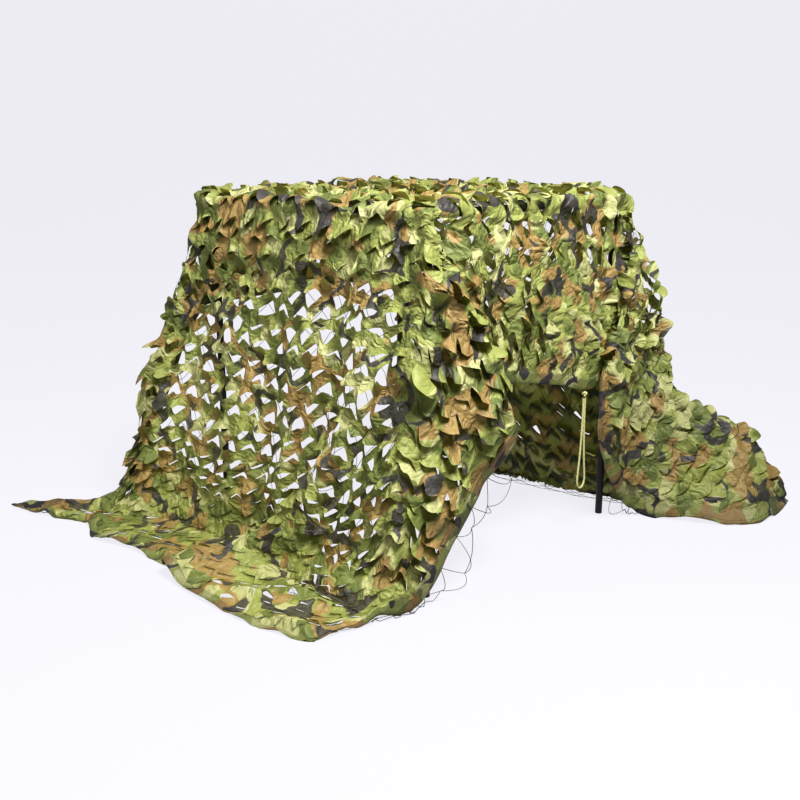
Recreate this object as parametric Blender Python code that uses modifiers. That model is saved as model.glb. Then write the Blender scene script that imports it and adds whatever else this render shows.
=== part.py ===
"""Camouflage net that falls over a square tube frame, in metres, +Z up.

The net is a rectangle of cloth. Its middle lies on the frame's top, and the rest hangs over the four
sides: a long front end (-Y) and a long back end (+Y), which run out on the floor, a short door side
(+X) with a rope loop, and a shorter far side (-X). Each point of the flat cloth belongs to one hang
line, which starts at the rim of the frame, bends at a knee and a foot, and ends at the hem.
"""

import math
from collections import namedtuple

import bmesh
import bpy
import numpy as np

# Frame
SIDE = 0.640  # outer side of the square frame
HEIGHT = 0.740  # floor to the top of the corner joints
TUBE = 0.016  # diameter of legs and rails
JOINT = 0.022  # side of a corner joint
JOINT_BEVEL = 0.002
GAP = 0.0003  # between pieces that touch

# Net, as cut and laid flat
CLOTH = 0.0012  # thickness of net and binding
RIM = 0.3275  # half side of the part of the net that lies on the frame
RIM_EASE = 0.006  # width of the bend over the rim
RIM_DROP = 0.002  # how far the net falls within that bend
SAG = 0.010  # how far the middle of the top hangs down
SAG_EDGE = 0.294  # half side of the part that sags, inside the corner joints
FRONT, DOOR, BACK, SHORT = 1.00, 0.37, 1.10, 0.24  # overhang of each side
TAPE = 0.025  # width of the binding
SEAM = 0.0035  # between net and binding
CELL = 0.050  # largest mesh cell of the net
SLOPE_STEP = 0.008  # distance over which the slope of the cloth is taken

# Pleats of the two long ends
PLEAT_DEPTH = 0.010
PLEAT_PITCH = 0.210
PLEAT_START = 0.10  # distance below the rim where pleats begin
PLEAT_FULL = 0.55  # distance below the rim where they have their full depth

# Corner fans: length of rim that a radian of fan counts for, when lines are interpolated
FAN_RADIUS = 0.50

# Tie loop
ROPE = 0.0055  # diameter
TIE_PLACE = 0.168  # where the loop is tied to the door side's hem, from the middle of that side
LOOP_DROP = 0.205  # from the knot to the bottom of the loop
LOOP_WIDTH = 0.028  # between the strands near the bottom
LOOP_NECK = 0.0064  # between the strands under the knot
KNOT = 0.016  # diameter of the knot

# A hang line: its place on the rim, then the points where it bends and ends. On a side, place is the
# distance in metres from the middle of that side, anticlockwise. On a corner it is the angle in
# degrees of the line on the flat cloth, from the side before the corner to the side after it.
# Points are measured from the middle of the frame, and one with no height lies on the floor.
Line = namedtuple("Line", "place knee foot hem")

FRONT_END = (
    Line(-0.3275, (-0.375, -0.385, 0.37), (-0.430, -0.440), (-0.520, -0.560)),
    Line(-0.200, (-0.245, -0.372, 0.37), (-0.305, -0.420), (-0.417, -0.597)),
    Line(-0.080, (-0.112, -0.366, 0.37), (-0.170, -0.402), (-0.289, -0.572)),
    Line(0.030, (0.000, -0.362, 0.37), (-0.075, -0.395), (-0.187, -0.575)),
    Line(0.110, (0.080, -0.362, 0.37), (-0.050, -0.390, 0.010), (-0.112, -0.552, 0.002)),
    Line(0.185, (0.138, -0.379, 0.37), (-0.086, -0.440, 0.035), (-0.160, -0.590, 0.012)),
    Line(0.230, (0.173, -0.385, 0.37), (-0.066, -0.450, 0.062), (-0.142, -0.600, 0.028)),
)
FRONT_CORNER = (
    Line(0, (0.235, -0.388, 0.37), (0.060, -0.455), (-0.040, -0.616)),
    Line(9, (0.280, -0.392, 0.37), (0.180, -0.470), (0.110, -0.621)),
    Line(16, (0.308, -0.392, 0.37), (0.258, -0.462), (0.232, -0.605)),
    Line(20.3, (0.325, -0.388, 0.37), (0.300, -0.450), (0.285, -0.585)),
    Line(24, (0.337, -0.382, 0.38), (0.325, -0.420, 0.03), (0.308, -0.500)),
    Line(29, (0.350, -0.372, 0.42), (0.348, -0.392, 0.15), (0.340, -0.398)),
    Line(37, (0.365, -0.345, 0.45), (0.372, -0.325, 0.27), (0.362, -0.292, 0.115)),
    Line(46, (0.382, -0.305, 0.50), (0.392, -0.255, 0.35), (0.375, -0.212, 0.225)),
    Line(56, (0.388, -0.265, 0.55), (0.402, -0.190, 0.42), (0.394, -0.140, 0.300)),
    Line(68, (0.368, -0.270, 0.57), (0.376, -0.205, 0.46), (0.374, -0.155, 0.365)),
)
DOOR_SIDE = (
    Line(-0.3275, (0.343, -0.310, 0.58), (0.348, -0.280, 0.48), (0.352, -0.262, 0.382)),
    Line(-0.150, (0.341, -0.150, 0.57), (0.343, -0.140, 0.48), (0.346, -0.130, 0.395)),
    Line(0.030, (0.346, 0.035, 0.57), (0.352, 0.035, 0.47), (0.354, 0.035, 0.368)),
    Line(0.200, (0.343, 0.195, 0.55), (0.349, 0.190, 0.44), (0.352, 0.182, 0.332)),
)
RIGHT_CORNER = (
    Line(0, (0.342, 0.315, 0.57), (0.345, 0.300, 0.48), (0.346, 0.285, 0.382)),
    Line(16, (0.362, 0.292, 0.58), (0.366, 0.257, 0.47), (0.359, 0.244, 0.381)),
    Line(23, (0.372, 0.280, 0.575), (0.376, 0.220, 0.455), (0.367, 0.200, 0.361)),
    Line(31, (0.384, 0.275, 0.57), (0.388, 0.200, 0.43), (0.376, 0.174, 0.324)),
    Line(40, (0.390, 0.303, 0.54), (0.395, 0.230, 0.38), (0.382, 0.169, 0.255)),
    Line(50, (0.392, 0.333, 0.50), (0.393, 0.286, 0.30), (0.376, 0.212, 0.155)),
    Line(58, (0.400, 0.360, 0.46), (0.402, 0.345, 0.20), (0.372, 0.335, 0.020)),
    Line(64, (0.412, 0.388, 0.42), (0.434, 0.398, 0.16), (0.440, 0.372)),
    Line(68, (0.424, 0.408, 0.33), (0.495, 0.475, 0.185), (0.545, 0.418)),
    Line(70.5, (0.425, 0.422, 0.275), (0.530, 0.555, 0.205), (0.628, 0.540)),
    Line(72, (0.423, 0.428, 0.275), (0.515, 0.600, 0.190), (0.606, 0.690)),
    Line(78, (0.402, 0.426, 0.30), (0.445, 0.560, 0.115), (0.480, 0.715)),
)
BACK_END = (
    Line(-0.3275, (0.340, 0.375, 0.37), (0.340, 0.410), (0.325, 0.742)),
    Line(-0.160, (0.165, 0.362, 0.37), (0.165, 0.368), (0.135, 0.715)),
    Line(0.020, (-0.020, 0.352, 0.37), (-0.025, 0.350), (-0.050, 0.690)),
    Line(0.190, (-0.190, 0.358, 0.37), (-0.200, 0.368), (-0.230, 0.672)),
)
BACK_CORNER = (
    Line(0, (-0.335, 0.368, 0.37), (-0.350, 0.395), (-0.400, 0.658)),
    Line(12.3, (-0.368, 0.378, 0.37), (-0.415, 0.430, 0.02), (-0.600, 0.640)),
    Line(18, (-0.380, 0.368, 0.40), (-0.415, 0.400, 0.14), (-0.450, 0.432)),
    Line(34, (-0.368, 0.348, 0.56), (-0.385, 0.358, 0.42), (-0.398, 0.365, 0.310)),
    Line(60, (-0.348, 0.330, 0.65), (-0.358, 0.332, 0.55), (-0.364, 0.332, 0.465)),
)
SHORT_SIDE = (
    Line(-0.3275, (-0.340, 0.318, 0.66), (-0.345, 0.312, 0.58), (-0.347, 0.305, 0.500)),
    Line(0.000, (-0.343, 0.000, 0.66), (-0.352, 0.000, 0.58), (-0.358, 0.000, 0.502)),
)
LEFT_CORNER = (
    Line(0, (-0.340, -0.318, 0.66), (-0.345, -0.315, 0.58), (-0.347, -0.310, 0.500)),
    Line(38, (-0.355, -0.332, 0.64), (-0.370, -0.335, 0.54), (-0.380, -0.338, 0.440)),
    Line(60, (-0.374, -0.350, 0.58), (-0.408, -0.368, 0.41), (-0.438, -0.378, 0.270)),
    Line(70, (-0.405, -0.374, 0.48), (-0.467, -0.411, 0.24), (-0.512, -0.432, 0.060)),
    Line(74, (-0.422, -0.395, 0.42), (-0.510, -0.455, 0.08), (-0.615, -0.462, 0.006)),
    Line(76.5, (-0.430, -0.410, 0.38), (-0.530, -0.500), (-0.743, -0.625)),
    Line(82, (-0.414, -0.410, 0.37), (-0.498, -0.496), (-0.625, -0.600)),
)


def clear_scene():
    for obj in list(bpy.data.objects):
        bpy.data.objects.remove(obj, do_unlink=True)


def new_collection(name):
    collection = bpy.data.collections.new(name)
    bpy.context.scene.collection.children.link(collection)
    return collection


def new_material(name, color, roughness, metallic=0.0):
    material = bpy.data.materials.new(name)
    material.use_nodes = True
    shader = material.node_tree.nodes["Principled BSDF"]
    shader.inputs["Base Color"].default_value = (*color, 1.0)
    shader.inputs["Roughness"].default_value = roughness
    shader.inputs["Metallic"].default_value = metallic
    return material


def add_piece(collection, name, data, material):
    obj = bpy.data.objects.new(name, data)
    collection.objects.link(obj)
    data.materials.append(material)
    return obj


# ---------------------------------------------------------------- net surface


def turn_of_rim():
    """Where each side and corner starts, as a distance travelled round the rim, and the whole turn."""
    starts, total = [], 0.0
    for _ in range(4):
        starts.append(total)
        total += 2 * RIM
        starts.append(total)
        total += FAN_RADIUS * math.pi / 2
    return starts, total


STARTS, TURN = turn_of_rim()
SECTIONS = (
    FRONT_END, FRONT_CORNER, DOOR_SIDE, RIGHT_CORNER, BACK_END, BACK_CORNER, SHORT_SIDE, LEFT_CORNER,
)


def line_table():
    """Every hang line in order round the rim: its distance round the rim, and its three bends."""
    places, bends = [], []
    for index, (start, section) in enumerate(zip(STARTS, SECTIONS)):
        on_corner = index % 2 == 1
        for line in section:
            along = FAN_RADIUS * math.radians(line.place) if on_corner else line.place + RIM
            places.append(start + along)
            bends.append([(*point, 0.0)[:3] for point in (line.knee, line.foot, line.hem)])
    return np.array(places), np.array(bends)


def gentle_curve(at, knots, values):
    """Cubic through the values at the knots that never swings past its neighbours."""
    step = np.diff(knots)
    shape = (-1,) + (1,) * (values.ndim - 1)
    rise = np.diff(values, axis=0) / step.reshape(shape)
    before, after = rise[:-1], rise[1:]
    turning = before * after <= 0
    total = np.where(turning, 1.0, before + after)
    inner = np.where(turning, 0.0, 2 * before * after / total)
    slope = np.concatenate([rise[:1], inner, rise[-1:]])
    i = np.clip(np.searchsorted(knots, at) - 1, 0, len(step) - 1)
    t = ((at - knots[i]) / step[i]).reshape(shape)
    width = step[i].reshape(shape)
    return (
        values[i] * (1 + 2 * t) * (1 - t) ** 2
        + slope[i] * width * t * (1 - t) ** 2
        + values[i + 1] * t * t * (3 - 2 * t)
        + slope[i + 1] * width * t * t * (t - 1)
    )


def bends_at(turn, table):
    """Knee, foot and hem of the hang line at a distance round the rim."""
    places, bends = table
    knots = np.concatenate([places - TURN, places, places + TURN])
    values = np.concatenate([bends, bends, bends])
    return gentle_curve(np.array([turn]), knots, values)[0]


def rim_place(x, y):
    """Of a flat point: the nearest point of the rim, the way out from it, and the distance round."""
    cx, cy = min(max(x, -RIM), RIM), min(max(y, -RIM), RIM)
    dx, dy = x - cx, y - cy
    fan = FAN_RADIUS
    if dy < 0 and dx >= 0:
        turn = STARTS[0] + x + RIM if dx == 0 else STARTS[1] + fan * math.atan2(dx, -dy)
    elif dx > 0:
        turn = STARTS[2] + y + RIM if dy == 0 else STARTS[3] + fan * math.atan2(dy, dx)
    elif dy > 0:
        turn = STARTS[4] + RIM - x if dx == 0 else STARTS[5] + fan * math.atan2(-dx, dy)
    else:
        turn = STARTS[6] + RIM - y if dy == 0 else STARTS[7] + fan * math.atan2(-dy, -dx)
    return (cx, cy), (dx, dy), turn


def flat_length(dx, dy):
    """Length of the hang line through a flat point, from rim to hem."""
    out = math.hypot(dx, dy)
    reach_x = (DOOR if dx > 0 else SHORT) / abs(dx) if dx else math.inf
    reach_y = (BACK if dy > 0 else FRONT) / abs(dy) if dy else math.inf
    return out * min(reach_x, reach_y)


def smooth_rise(value, low, high):
    t = min(max((value - low) / (high - low), 0.0), 1.0)
    return t * t * (3 - 2 * t)


def pleat(x, out, at):
    """How far the cloth of a long end stands out there, from the soft pleats that widen downwards."""
    wave = math.sin(2 * math.pi * x / PLEAT_PITCH) + 0.5 * math.sin(3.3 * math.pi * x / PLEAT_PITCH + 1)
    hanging = smooth_rise(at[2], 0.0, 0.10)
    return PLEAT_DEPTH * wave * smooth_rise(out, PLEAT_START, PLEAT_FULL) * hanging


def top_height(x, y):
    """Middle of the cloth's thickness over the frame's top, which sags between the rails."""
    seat = HEIGHT + GAP + CLOTH / 2
    ease = RIM - RIM_EASE
    edge = max(abs(x), abs(y), ease)
    inside = max(0.0, 1 - (x / SAG_EDGE) ** 2) * max(0.0, 1 - (y / SAG_EDGE) ** 2)
    return seat - SAG * inside - RIM_DROP * (edge - ease) / RIM_EASE


def drape(x, y, table):
    """Where a point of the flat cloth lies, as the middle of its thickness."""
    (cx, cy), (dx, dy), turn = rim_place(x, y)
    rim = np.array([cx, cy, top_height(cx, cy)])
    out = math.hypot(dx, dy)
    if out < 1e-9:
        return rim
    points = np.vstack([rim, bends_at(turn, table)])
    run = np.concatenate([[0.0], np.cumsum(np.linalg.norm(np.diff(points, axis=0), axis=1))])
    share = min(out / flat_length(dx, dy), 1.0)
    at = gentle_curve(np.array([share * run[-1]]), run, points)[0]
    if dx == 0:
        at[1] += math.copysign(pleat(x, out, at), dy)
    at[2] = max(at[2], CLOTH / 2)
    return at


# ---------------------------------------------------------------- cloth pieces


def cuts(*stops):
    """Mesh lines from stop to stop, none further apart than a cell."""
    lines = [stops[0]]
    for low, high in zip(stops, stops[1:]):
        count = max(1, math.ceil((high - low) / CELL - 1e-6))
        lines += [low + (high - low) * k / count for k in range(1, count + 1)]
    return lines


def facing(x, y, table):
    """The way the cloth's upper side faces at a flat point, from its slopes there."""
    low_x, high_x = max(x - SLOPE_STEP, -RIM - SHORT), min(x + SLOPE_STEP, RIM + DOOR)
    low_y, high_y = max(y - SLOPE_STEP, -RIM - FRONT), min(y + SLOPE_STEP, RIM + BACK)
    over = drape(high_x, y, table) - drape(low_x, y, table)
    down = drape(x, high_y, table) - drape(x, low_y, table)
    normal = np.cross(over, down)
    return normal / np.linalg.norm(normal)


def cloth_piece(collection, name, across, along, table, material):
    """A patch of the flat grid as a closed shell: the draped sheet, moved half a thickness each way.

    Neighbouring patches take their thickness from the same slopes, so that the seam between them
    stays open all along, and each cell is split along the same diagonal above and below.
    """
    mesh = bpy.data.meshes.new(name)
    form = bmesh.new()
    sides = []
    for half in (CLOTH / 2, -CLOTH / 2):
        sides.append([
            [form.verts.new(drape(x, y, table) + half * facing(x, y, table)) for x in across]
            for y in along
        ])
    upper, lower = sides
    for near, far, near_low, far_low in zip(upper, upper[1:], lower, lower[1:]):
        for a, b, c, d in zip(near, near[1:], far[1:], far):
            form.faces.new((c, d, a))
            form.faces.new((c, a, b))
        for a, b, c, d in zip(near_low, near_low[1:], far_low[1:], far_low):
            form.faces.new((a, d, c))
            form.faces.new((b, a, c))
    for above, below in zip(border(upper), border(lower)):
        form.faces.new((above[1], above[0], below[0], below[1]))
    form.to_mesh(mesh)
    form.free()
    mesh.shade_smooth()
    return add_piece(collection, name, mesh, material)


def border(grid):
    """The edges round a grid of points, anticlockwise."""
    ring = list(grid[0]) + [row[-1] for row in grid[1:-1]]
    ring += list(reversed(grid[-1])) + [row[0] for row in reversed(grid[1:-1])]
    return list(zip(ring, ring[1:] + ring[:1]))


def build_net(collection, table):
    net = new_material("net", (0.20, 0.30, 0.08), 0.75)
    tape = new_material("binding", (0.08, 0.14, 0.05), 0.8)
    ease = RIM - RIM_EASE
    low_x, high_x = -RIM - SHORT, RIM + DOOR
    low_y, high_y = -RIM - FRONT, RIM + BACK
    inset = TAPE + SEAM
    across = cuts(low_x + inset, -RIM, -ease, -SAG_EDGE, SAG_EDGE, ease, RIM, high_x - inset)
    along = cuts(low_y + inset, -RIM, -ease, -SAG_EDGE, TIE_PLACE, SAG_EDGE, ease, RIM, high_y - inset)
    cloth_piece(collection, "net", across, along, table, net)
    wide = [low_x, *across, high_x]
    cloth_piece(collection, "binding_front", wide, [low_y, low_y + TAPE], table, tape)
    cloth_piece(collection, "binding_back", wide, [high_y - TAPE, high_y], table, tape)
    cloth_piece(collection, "binding_short", [low_x, low_x + TAPE], along, table, tape)
    cloth_piece(collection, "binding_door", [high_x - TAPE, high_x], along, table, tape)


# ---------------------------------------------------------------- frame


def straight_tube(collection, name, start, end, material):
    curve = bpy.data.curves.new(name, "CURVE")
    curve.dimensions = "3D"
    curve.bevel_depth = TUBE / 2
    curve.bevel_resolution = 3
    curve.use_fill_caps = True
    spline = curve.splines.new("POLY")
    spline.points.add(1)
    spline.points[0].co = (*start, 1.0)
    spline.points[1].co = (*end, 1.0)
    return add_piece(collection, name, curve, material)


def corner_joint(collection, name, x, y, material):
    mesh = bpy.data.meshes.new(name)
    form = bmesh.new()
    bmesh.ops.create_cube(form, size=JOINT)
    form.to_mesh(mesh)
    form.free()
    obj = add_piece(collection, name, mesh, material)
    obj.location = (x, y, HEIGHT - JOINT / 2)
    bevel = obj.modifiers.new("soft edges", "BEVEL")
    bevel.width = JOINT_BEVEL
    bevel.segments = 2
    return obj


def build_frame(collection):
    paint = new_material("frame_paint", (0.02, 0.02, 0.022), 0.4, 0.6)
    plastic = new_material("joint_plastic", (0.03, 0.03, 0.032), 0.5)
    at = SIDE / 2 - JOINT / 2
    reach = at - JOINT / 2 - GAP
    height = HEIGHT - JOINT / 2
    corners = {"front": (at, -at), "right": (at, at), "back": (-at, at), "left": (-at, -at)}
    for name, (x, y) in corners.items():
        corner_joint(collection, "joint_" + name, x, y, plastic)
        straight_tube(collection, "leg_" + name, (x, y, 0), (x, y, HEIGHT - JOINT - GAP), paint)
    for name, y in (("front", -at), ("back", at)):
        straight_tube(collection, "rail_" + name, (-reach, y, height), (reach, y, height), paint)
    for name, x in (("short", -at), ("door", at)):
        straight_tube(collection, "rail_" + name, (x, -reach, height), (x, reach, height), paint)


# ---------------------------------------------------------------- tie loop


def loop_route(x, y, z):
    """Down one strand, round the bottom and up the other: half a drop shape and its mirror image."""
    neck = LOOP_NECK / LOOP_WIDTH
    shape = ((neck, 0.0), (neck, 0.1), (0.30, 0.35), (0.62, 0.66), (1.0, 0.88), (0.9, 0.95), (0.5, 0.99))
    half = LOOP_WIDTH / 2
    down = [(x, y - half * side, z - LOOP_DROP * fall) for side, fall in shape]
    up = [(x, 2 * y - py, pz) for _, py, pz in reversed(down)]
    return np.array(down + [(x, y, z - LOOP_DROP)] + up)


def smooth_route(points, spacing):
    """Points a given distance apart on a smooth curve through the route."""
    ends = np.vstack([2 * points[0] - points[1], points, 2 * points[-1] - points[-2]])
    fine = []
    for p0, p1, p2, p3 in zip(ends, ends[1:], ends[2:], ends[3:]):
        for t in np.linspace(0, 1, 12, endpoint=False):
            bend = 2 * p0 - 5 * p1 + 4 * p2 - p3
            twist = 3 * p1 - p0 - 3 * p2 + p3
            fine.append(0.5 * (2 * p1 + (p2 - p0) * t + bend * t * t + twist * t**3))
    fine = np.array([*fine, points[-1]])
    run = np.concatenate([[0.0], np.cumsum(np.linalg.norm(np.diff(fine, axis=0), axis=1))])
    at = np.linspace(0, run[-1], max(2, round(run[-1] / spacing)) + 1)
    return np.stack([np.interp(at, run, fine[:, axis]) for axis in range(3)], axis=1)


def build_tie(collection, table):
    rope = new_material("rope", (0.40, 0.37, 0.20), 0.85)
    x, y, z = drape(RIM + DOOR, TIE_PLACE, table)
    knot_height = z - GAP - KNOT / 2
    route = smooth_route(loop_route(x, y, knot_height - KNOT / 2 - GAP), 2.5 * ROPE)
    curve = bpy.data.curves.new("tie_loop", "CURVE")
    curve.dimensions = "3D"
    curve.bevel_depth = ROPE / 2
    curve.bevel_resolution = 2
    curve.use_fill_caps = True
    spline = curve.splines.new("POLY")
    spline.points.add(len(route) - 1)
    for point, at in zip(spline.points, route):
        point.co = (*at, 1.0)
    add_piece(collection, "tie_loop", curve, rope)
    mesh = bpy.data.meshes.new("tie_knot")
    form = bmesh.new()
    bmesh.ops.create_uvsphere(form, u_segments=16, v_segments=10, radius=KNOT / 2)
    form.to_mesh(mesh)
    form.free()
    mesh.shade_smooth()
    knot = add_piece(collection, "tie_knot", mesh, rope)
    knot.location = (x, y, knot_height)


# ---------------------------------------------------------------- whole


def stand_at_origin(collection):
    """Moves the model so that the origin is under the middle of its outer box."""
    bpy.context.view_layer.update()
    graph = bpy.context.evaluated_depsgraph_get()
    corners = []
    for obj in collection.objects:
        whole = obj.evaluated_get(graph)
        corners += [whole.matrix_world @ vertex.co for vertex in whole.to_mesh().vertices]
        whole.to_mesh_clear()
    corners = np.array(corners)
    middle = (corners.min(axis=0) + corners.max(axis=0)) / 2
    for obj in collection.objects:
        obj.location.x -= middle[0]
        obj.location.y -= middle[1]


def main():
    clear_scene()
    collection = new_collection("camouflage_net_on_frame")
    build_frame(collection)
    table = line_table()
    build_net(collection, table)
    build_tie(collection, table)
    stand_at_origin(collection)


main()
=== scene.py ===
"""Looks of a camouflage net that falls over a square tube frame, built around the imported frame.

The net's drape is worked out as in the part's source, on a fine grid of the flat cloth. Each piece of
cloth, tape, thread and rope is then laid on that grid: the incised cloth with its opened slits and
curled leaves, the knotted mesh behind it, the tape round the edges and the rope loop.
"""

import math
from collections import namedtuple

import bpy
import numpy as np
from bpy.props import FloatProperty, FloatVectorProperty, PointerProperty
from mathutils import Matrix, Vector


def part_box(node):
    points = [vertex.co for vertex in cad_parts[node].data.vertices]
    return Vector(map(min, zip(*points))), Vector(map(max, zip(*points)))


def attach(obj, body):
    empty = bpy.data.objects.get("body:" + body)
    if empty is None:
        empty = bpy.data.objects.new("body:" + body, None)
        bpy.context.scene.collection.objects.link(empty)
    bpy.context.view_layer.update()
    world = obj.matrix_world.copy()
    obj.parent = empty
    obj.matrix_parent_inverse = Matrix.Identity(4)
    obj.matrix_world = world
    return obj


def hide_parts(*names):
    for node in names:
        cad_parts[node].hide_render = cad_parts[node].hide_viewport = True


bl_info = {
    "name": "Camouflage Net on a Tube Frame",
    "version": (1, 0, 0),
    "blender": (4, 5, 0),
    "location": "View3D > Sidebar > Camouflage Net",
    "description": "Builds the incised net, its mesh, tape and rope, and finishes the frame under it",
    "category": "Object",
}

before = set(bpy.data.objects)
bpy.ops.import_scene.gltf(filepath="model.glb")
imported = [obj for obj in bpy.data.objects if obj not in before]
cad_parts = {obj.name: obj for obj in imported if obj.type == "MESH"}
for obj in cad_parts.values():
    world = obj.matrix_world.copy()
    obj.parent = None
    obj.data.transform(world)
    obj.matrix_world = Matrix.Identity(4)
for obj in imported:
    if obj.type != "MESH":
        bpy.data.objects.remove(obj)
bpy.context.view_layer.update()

# ---------------------------------------------------------------- sizes

CORNERS = ("front", "right", "back", "left")
SIDES = ("front", "door", "back", "short")


def middle_of_frame():
    """The point of the floor that is in the middle of the four legs."""
    corners = [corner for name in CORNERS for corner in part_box("leg_" + name)]
    low, high = np.min(corners, axis=0), np.max(corners, axis=0)
    return np.array([(low[0] + high[0]) / 2, (low[1] + high[1]) / 2, 0.0])


MIDDLE = middle_of_frame()
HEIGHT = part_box("joint_front")[1].z  # floor to the top of the frame

# The net's drape, as in the part's source, in metres
GAP = 0.0003  # between pieces that touch
CLOTH = 0.0012  # thickness of net and tape
RIM = 0.3275  # half side of the part of the net that lies on the frame
RIM_EASE = 0.006  # width of the bend over the rim
RIM_DROP = 0.002  # how far the net falls within that bend
SAG = 0.010  # how far the middle of the top hangs down
SAG_EDGE = 0.294  # half side of the part that sags
FRONT, DOOR, BACK, SHORT = 1.00, 0.37, 1.10, 0.24  # overhang of each side
TAPE = 0.025  # width of the tape
UNDER_TAPE = 0.012  # how far the tape's outer edge stands past the cloth's own edge
RUFFLE, RUFFLE_REACH, RUFFLE_SIZE = 0.014, 0.090, 0.045  # height, reach inwards and size of the hem's curls
PLEAT_DEPTH = 0.010
PLEAT_PITCH = 0.210
PLEAT_START = 0.10  # distance below the rim where pleats begin
PLEAT_FULL = 0.55  # distance below the rim where they have their full depth
FAN_RADIUS = 0.50  # length of rim that a radian of a corner's fan counts for
ROPE = 0.0055  # diameter
LOOP_DROP = 0.205  # from the knot to the bottom of the loop
LOOP_WIDTH = 0.028  # between the strands near the bottom
LOOP_NECK = 0.0064  # between the strands under the knot
KNOT = 0.016  # diameter of the knot

# Looks of the drape
DRAPE_STEP = 0.005  # between points of the draped cloth
SOFTEN_POINTS, SOFTEN_FACING = 6, 30  # how often the cloth's points and its facing are softened
SETTLE_COARSE, SETTLE_FINE = (0.020, 500), (0.010, 60)  # the pattern's step and how often it settles
SETTLE_POWER = 1.7  # how strongly stretched neighbours pull each other
SETTLE_LEAST = 0.0005  # keeps that pull finite where points meet

# The camera and the floor share this turn round the net, in degrees
VIEW_TURN = 43.0
VIEW_TILT = 75.47
VIEW_PLACE = (1.494, -1.6526, 0.857)  # from the middle of the frame's floor
VIEW_LENS, VIEW_SENSOR = 45.2, 36.0  # in millimetres

LOW_X, HIGH_X = -RIM - SHORT, RIM + DOOR
LOW_Y, HIGH_Y = -RIM - FRONT, RIM + BACK

# A hang line: its place on the rim, then the points where it bends and ends. On a side, place is the
# distance in metres from the middle of that side, anticlockwise. On a corner it is the angle in
# degrees of the line on the flat cloth. Points are measured from the middle of the frame, and one
# with no height lies on the floor.
Line = namedtuple("Line", "place knee foot hem")

FRONT_END = (
    Line(-0.3275, (-0.375, -0.385, 0.37), (-0.430, -0.440), (-0.520, -0.560)),
    Line(-0.200, (-0.245, -0.372, 0.37), (-0.305, -0.420), (-0.417, -0.597)),
    Line(-0.080, (-0.112, -0.366, 0.37), (-0.170, -0.402), (-0.289, -0.572)),
    Line(0.030, (0.000, -0.362, 0.37), (-0.075, -0.395), (-0.187, -0.575)),
    Line(0.110, (0.080, -0.362, 0.37), (-0.050, -0.390, 0.010), (-0.112, -0.552, 0.002)),
    Line(0.185, (0.138, -0.379, 0.37), (-0.086, -0.440, 0.035), (-0.160, -0.590, 0.012)),
    Line(0.230, (0.173, -0.385, 0.37), (-0.066, -0.450, 0.062), (-0.142, -0.600, 0.028)),
)
FRONT_CORNER = (
    Line(0, (0.235, -0.388, 0.37), (0.060, -0.455), (-0.040, -0.616)),
    Line(9, (0.280, -0.392, 0.37), (0.180, -0.470), (0.110, -0.621)),
    Line(16, (0.308, -0.392, 0.37), (0.258, -0.462), (0.232, -0.605)),
    Line(20.3, (0.325, -0.388, 0.37), (0.300, -0.450), (0.285, -0.585)),
    Line(24, (0.337, -0.382, 0.38), (0.325, -0.420, 0.03), (0.308, -0.500)),
    Line(29, (0.350, -0.372, 0.42), (0.348, -0.392, 0.15), (0.340, -0.398)),
    Line(37, (0.365, -0.345, 0.45), (0.372, -0.325, 0.27), (0.362, -0.292, 0.115)),
    Line(46, (0.382, -0.305, 0.50), (0.392, -0.255, 0.35), (0.375, -0.212, 0.225)),
    Line(56, (0.388, -0.265, 0.55), (0.402, -0.190, 0.42), (0.394, -0.140, 0.300)),
    Line(68, (0.368, -0.270, 0.57), (0.376, -0.205, 0.46), (0.374, -0.155, 0.365)),
)
DOOR_SIDE = (
    Line(-0.3275, (0.343, -0.310, 0.58), (0.348, -0.280, 0.48), (0.352, -0.262, 0.382)),
    Line(-0.150, (0.341, -0.150, 0.57), (0.343, -0.140, 0.48), (0.346, -0.130, 0.395)),
    Line(0.030, (0.346, 0.035, 0.57), (0.352, 0.035, 0.47), (0.354, 0.035, 0.368)),
    Line(0.200, (0.343, 0.195, 0.55), (0.349, 0.190, 0.44), (0.352, 0.182, 0.332)),
)
RIGHT_CORNER = (
    Line(0, (0.342, 0.315, 0.57), (0.345, 0.300, 0.48), (0.346, 0.285, 0.382)),
    Line(16, (0.362, 0.292, 0.58), (0.366, 0.257, 0.47), (0.359, 0.244, 0.381)),
    Line(23, (0.372, 0.280, 0.575), (0.376, 0.220, 0.455), (0.367, 0.200, 0.361)),
    Line(31, (0.384, 0.275, 0.57), (0.388, 0.200, 0.43), (0.376, 0.174, 0.324)),
    Line(40, (0.390, 0.303, 0.54), (0.395, 0.230, 0.38), (0.382, 0.169, 0.255)),
    Line(50, (0.392, 0.333, 0.50), (0.393, 0.286, 0.30), (0.376, 0.212, 0.155)),
    Line(58, (0.400, 0.360, 0.46), (0.402, 0.345, 0.20), (0.372, 0.335, 0.020)),
    Line(64, (0.412, 0.388, 0.42), (0.434, 0.398, 0.16), (0.440, 0.372)),
    Line(68, (0.424, 0.408, 0.33), (0.495, 0.475, 0.185), (0.545, 0.418)),
    Line(70.5, (0.425, 0.422, 0.275), (0.530, 0.555, 0.205), (0.628, 0.540)),
    Line(72, (0.423, 0.428, 0.275), (0.515, 0.600, 0.190), (0.606, 0.690)),
    Line(78, (0.402, 0.426, 0.30), (0.445, 0.560, 0.115), (0.480, 0.715)),
)
BACK_END = (
    Line(-0.3275, (0.340, 0.375, 0.37), (0.340, 0.410), (0.325, 0.742)),
    Line(-0.160, (0.165, 0.362, 0.37), (0.165, 0.368), (0.135, 0.715)),
    Line(0.020, (-0.020, 0.352, 0.37), (-0.025, 0.350), (-0.050, 0.690)),
    Line(0.190, (-0.190, 0.358, 0.37), (-0.200, 0.368), (-0.230, 0.672)),
)
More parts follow.
